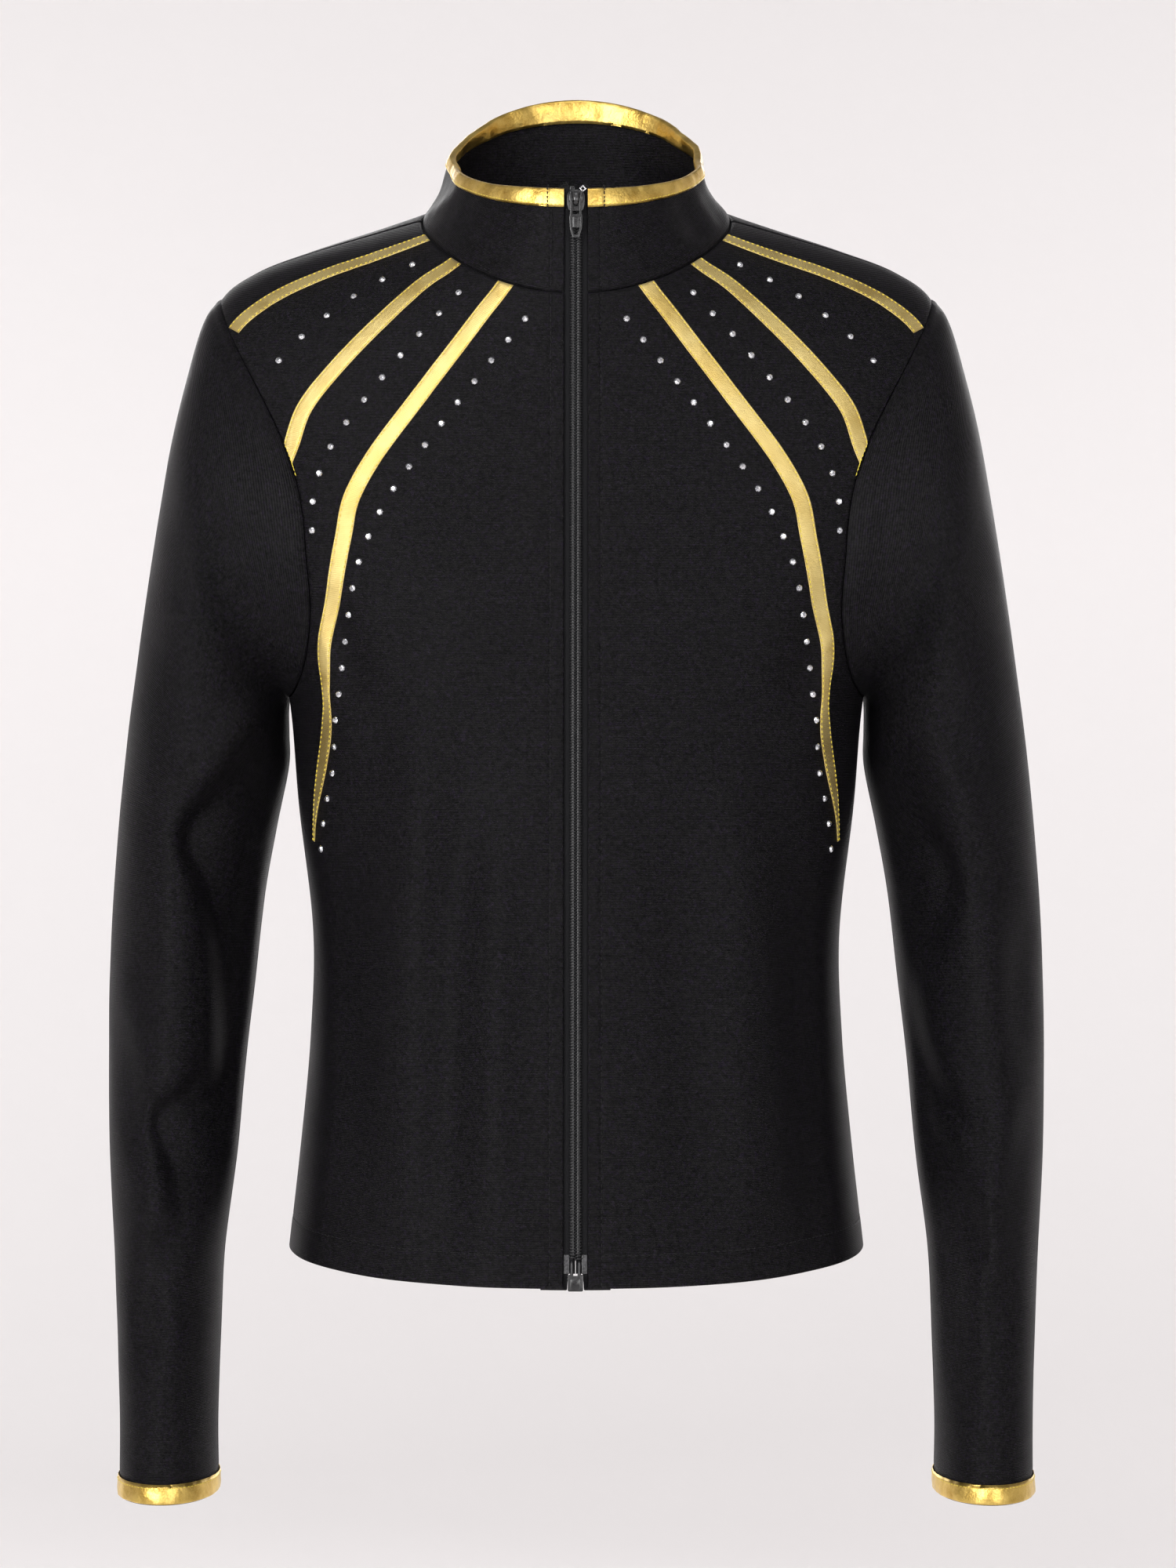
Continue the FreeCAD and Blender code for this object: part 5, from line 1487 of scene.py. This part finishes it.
def pull():
    """Pull tab: tapering frame with a bar under the bail, a cross bar and a recessed tongue."""
    outer = rounded([(-2.3, 0.45), (2.3, 0.45), (2.35, -5.6), (2.7, -7.4), (2.45, -12.4), (1.25, -16.2),
                     (-1.25, -16.2), (-2.45, -12.4), (-2.7, -7.4), (-2.35, -5.6)], 0.6)
    window = rounded([(-1.45, -0.45), (1.45, -0.45), (1.55, -6.4), (-1.55, -6.4)], 0.35)
    tongue_hole = rounded([(-1.75, -7.5), (1.75, -7.5), (1.55, -12.3), (0.75, -15.1), (-0.75, -15.1),
                           (-1.55, -12.3)], 0.35)
    tongue = rounded([(-1.4, -7.0), (1.4, -7.0), (1.3, -11.9), (-1.3, -11.9)], 0.3)
    parts = [plate([outer, window, tongue_hole], PULL_DEPTH - 0.45, PULL_DEPTH + 0.45, 0.14),
             plate([tongue], PULL_DEPTH - 0.26, PULL_DEPTH + 0.22, 0.08)]
    return zip_piece("pull_tab", parts, ENAMEL, lift=SLIDER_LIFT)


def top_stops():
    """Crimped stops above the coils: the left one is turned up so that its square bright end shows."""
    pieces = []
    square = rounded([(-1.05, -1.05), (1.05, -1.05), (1.05, 1.05), (-1.05, 1.05)], 0.25)
    hole = rounded([(-0.55, -0.55), (0.55, -0.55), (0.55, 0.55), (-0.55, 0.55)], 0.15)
    turn = math.radians(40)
    for name, sign in SIDES:
        if sign > 0:
            points, faces = plate([square, hole], -0.5, 0.6, 0.12)
            x, y = points[:, 0].copy(), points[:, 1].copy()
            points[:, 0] = x * math.cos(turn) - y * math.sin(turn) + 2.9
            points[:, 1] = x * math.sin(turn) + y * math.cos(turn) + 3.5
        else:
            bar = rounded([(-2.5, 2.9), (-0.6, 2.9), (-0.6, 4.4), (-2.5, 4.4)], 0.35)
            points, faces = plate([bar], -1.3, 0.6, 0.2)
        pieces.append(zip_piece("top_stop_" + name, [(points, faces)], METAL if sign > 0 else ENAMEL))
    return pieces


def retainer():
    """Moulded retainer box with a rounded foot and a raised rib, and the two pins above it."""
    outline = rounded([(-3.1, BOX_FOOT), (3.1, BOX_FOOT), (3.1, BOX_TOP), (1.0, BOX_TOP),
                       (1.0, BOX_TOP - 0.5), (-1.0, BOX_TOP - 0.5), (-1.0, BOX_TOP), (-3.1, BOX_TOP)], 0.75)
    rib_foot, rib_top = BOX_FOOT + 1.0, BOX_TOP - 1.6
    rib = rounded([(-2.0, rib_foot), (2.0, rib_foot), (2.0, rib_top), (-2.0, rib_top)], 0.7)
    parts = [plate([outline], -3.3, 1.3, 0.55, 3), plate([rib], 1.0, 1.55, 0.22)]
    box = zip_piece("retainer_box", parts, ENAMEL)
    pins = []
    for label, sign in (("retainer_pin", -1), ("insertion_pin", 1)):
        share = np.linspace(0, 1, 16)
        flat = np.stack([np.full(16, sign * 1.5), -436.4 - 11.0 * share, np.full(16, -0.7)], -1)
        girth = 0.65 * np.sqrt(np.clip(1 - (np.abs(share - 0.5) * 2) ** 12, 0.05, 1))
        pins.append(new_object(label, *tube(zip_frame(flat), ZIP_OUT, girth, girth, 14), NYLON, sharp=40))
    return box, pins


# ---------------------------------------------------------------- the jacket

def set_up(piece, body, slot, *nodes):
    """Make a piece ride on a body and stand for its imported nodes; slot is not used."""
    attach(piece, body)
    if nodes:
        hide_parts(*nodes)
    return piece


def bend_with_sleeve(piece):
    """Bake the piece's placement into its mesh."""
    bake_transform(piece)


for side_name, side_sign in SIDES:
    cloth = front_panel(side_name, side_sign)
    set_up(cloth, "torso", "cloth_black", "front_panel_" + side_name)
    arm = sleeve_tube(side_name)
    bend_with_sleeve(arm)
    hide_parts("sleeve_" + side_name)
    allowance = armhole_allowance(side_name)
    bend_with_sleeve(allowance)
    set_up(cuff_binding(side_name), "sleeve_" + side_name, "foil_gold", "cuff_binding_" + side_name)
    set_up(cuff_stitches(side_name), "sleeve_" + side_name, "foil_gold")
    for row_name in STRIPES:
        place_name = "_%s_%s" % (row_name, side_name)
        set_up(stripe(side_name, row_name, side_sign), "torso", "foil_stripe", "stripe" + place_name)
        set_up(stripe_stitches(side_name, row_name, side_sign), "torso", "foil_stripe")
        set_up(stones(side_name, row_name, side_sign), "torso", "stone_clear", "stones" + place_name)
    set_up(zip_stitches(side_name, side_sign), "torso", "cloth_black")
    set_up(cross_stitches(side_name, side_sign), "torso", "cloth_black")
    hem = hem_stitches("hem_stitches_front_" + side_name, side_sign * 5.0, side_sign * 89.6)
    set_up(hem, "torso", "cloth_black")
    set_up(zip_tape(side_name, side_sign), "torso", "tape_black", "zip_tape_" + side_name)
    set_up(coil(side_name, side_sign), "torso", "coil_black", "zip_coil_" + side_name)
    set_up(coil_stitches(side_name, side_sign), "torso", "tape_black")
    set_up(film(side_name, side_sign), "torso", "film_grey", "zip_film_" + side_name)

back = set_up(back_panel(), "torso", "cloth_black", "back_panel")
set_up(hem_stitches("hem_stitches_back", 90.4, 269.6), "torso", "cloth_black")
collar_cloth = collar_layer("collar_outer_cloth", FRONT_EDGE, False)
set_up(collar_cloth, "torso", "cloth_black", "collar_outer")
lining = collar_layer("collar_facing_cloth", FRONT_EDGE + 0.6, True)
set_up(lining, "torso", "cloth_black", "collar_facing")
set_up(collar_binding(), "torso", "foil_gold", "collar_binding")
set_up(collar_binding_stitches(), "torso", "foil_gold")
for strip in seam_allowances():
    set_up(strip, "torso", "cloth_black")
set_up(neck_seam_tape(), "torso", "tape_black")
set_up(frayed_end(), "torso", "tape_black")
for (side_name, side_sign), stop in zip(SIDES, top_stops()):
    set_up(stop, "torso", "metal_bright" if side_sign > 0 else "slider_black", "zip_top_stop_" + side_name)
retainer_box, pins = retainer()
set_up(retainer_box, "torso", "slider_black", "zip_box")
for pin, node in zip(pins, ("zip_box_pin", "zip_insertion_pin")):
    set_up(pin, "torso", "coil_black", node)
set_up(slider(), "zip_slider", "slider_black", "zip_slider")
set_up(pull(), "zip_pull", "slider_black", "zip_pull")


# ---------------------------------------------------------------- studio

def cyclorama(floor, radius, bend, top):
    """Round pale room with no corners: floor, curved foot and wall."""
    arc = np.linspace(0, math.pi / 2, 12)
    profile = [(0.02, floor)] + [(radius + bend * math.sin(t), floor + bend * (1 - math.cos(t))) for t in arc]
    profile.append((radius + bend, top))
    turn = np.linspace(0, 2 * math.pi, 97)[:-1]
    points = np.array([[(r * math.cos(t), r * math.sin(t), z) for t in turn] for r, z in profile])
    corner_rows, corner_columns = grid_quads(len(profile), len(turn), True)
    faces = (corner_rows * len(turn) + corner_columns % len(turn)).tolist() + [list(range(len(turn)))]
    room = new_object("studio_floor", points.reshape(-1, 3) / MM, faces, backdrop_paint())
    return room


def area_light(name, place, target, wide, tall, power):
    light = bpy.data.lights.new(name, "AREA")
    light.shape = "RECTANGLE"
    light.size, light.size_y = wide, tall
    light.energy = power
    lamp = bpy.data.objects.new(name, light)
    lamp.location = place
    lamp.rotation_euler = (Vector(target) - Vector(place)).to_track_quat("-Z", "Y").to_euler()
    lamp.visible_camera = False
    bpy.context.scene.collection.objects.link(lamp)


def studio():
    """Pale room, two large soft lights in front, one above, two behind, and two for the wall."""
    centre = (cad_low + cad_high) / 2
    cyclorama(-1.25, 3.0, 1.4, 4.0)
    area_light("key_left", (-1.35, -2.3, 0.45), centre, 1.1, 1.5, 50)
    area_light("key_right", (1.1, -2.5, 0.25), centre, 1.1, 1.5, 21)
    area_light("top", (0.0, -1.2, 2.0), centre, 1.4, 1.0, 14)
    area_light("back_left", (-0.5, 2.5, 0.8), centre, 1.2, 1.2, 20)
    area_light("back_right", (0.7, 2.5, 0.4), centre, 1.2, 1.2, 12)
    area_light("wall_left", (-2.2, 1.2, 0.4), (-0.9, 4.4, -0.3), 2.0, 2.6, 44)
    area_light("wall_right", (2.2, 1.2, 0.4), (0.9, 4.4, -0.3), 2.0, 2.6, 36)
    world = bpy.data.worlds.new("studio_world")
    bpy.context.scene.world = world
    world.use_nodes = True
    world.node_tree.nodes["Background"].inputs["Color"].default_value = (0.93, 0.92, 0.93, 1)
    world.node_tree.nodes["Background"].inputs["Strength"].default_value = 0.2
    bpy.context.scene.view_settings.view_transform = "Standard"


CAMERA_PLACE = (0.005, -1.5, -0.243)
FRAME_LONG_SIDE = 0.676


def camera():
    """Level camera in front: at the seam plane its frame is 0.676 m tall."""
    lens = bpy.data.cameras.new("camera")
    lens.sensor_width = 36.0
    lens.lens = lens.sensor_width * -CAMERA_PLACE[1] / FRAME_LONG_SIDE
    eye = bpy.data.objects.new("camera", lens)
    eye.location = CAMERA_PLACE
    eye.rotation_euler = (math.pi / 2, 0, 0)
    bpy.context.scene.collection.objects.link(eye)
    bpy.context.scene.camera = eye


studio()
camera()

bpy.context.view_layer.update()
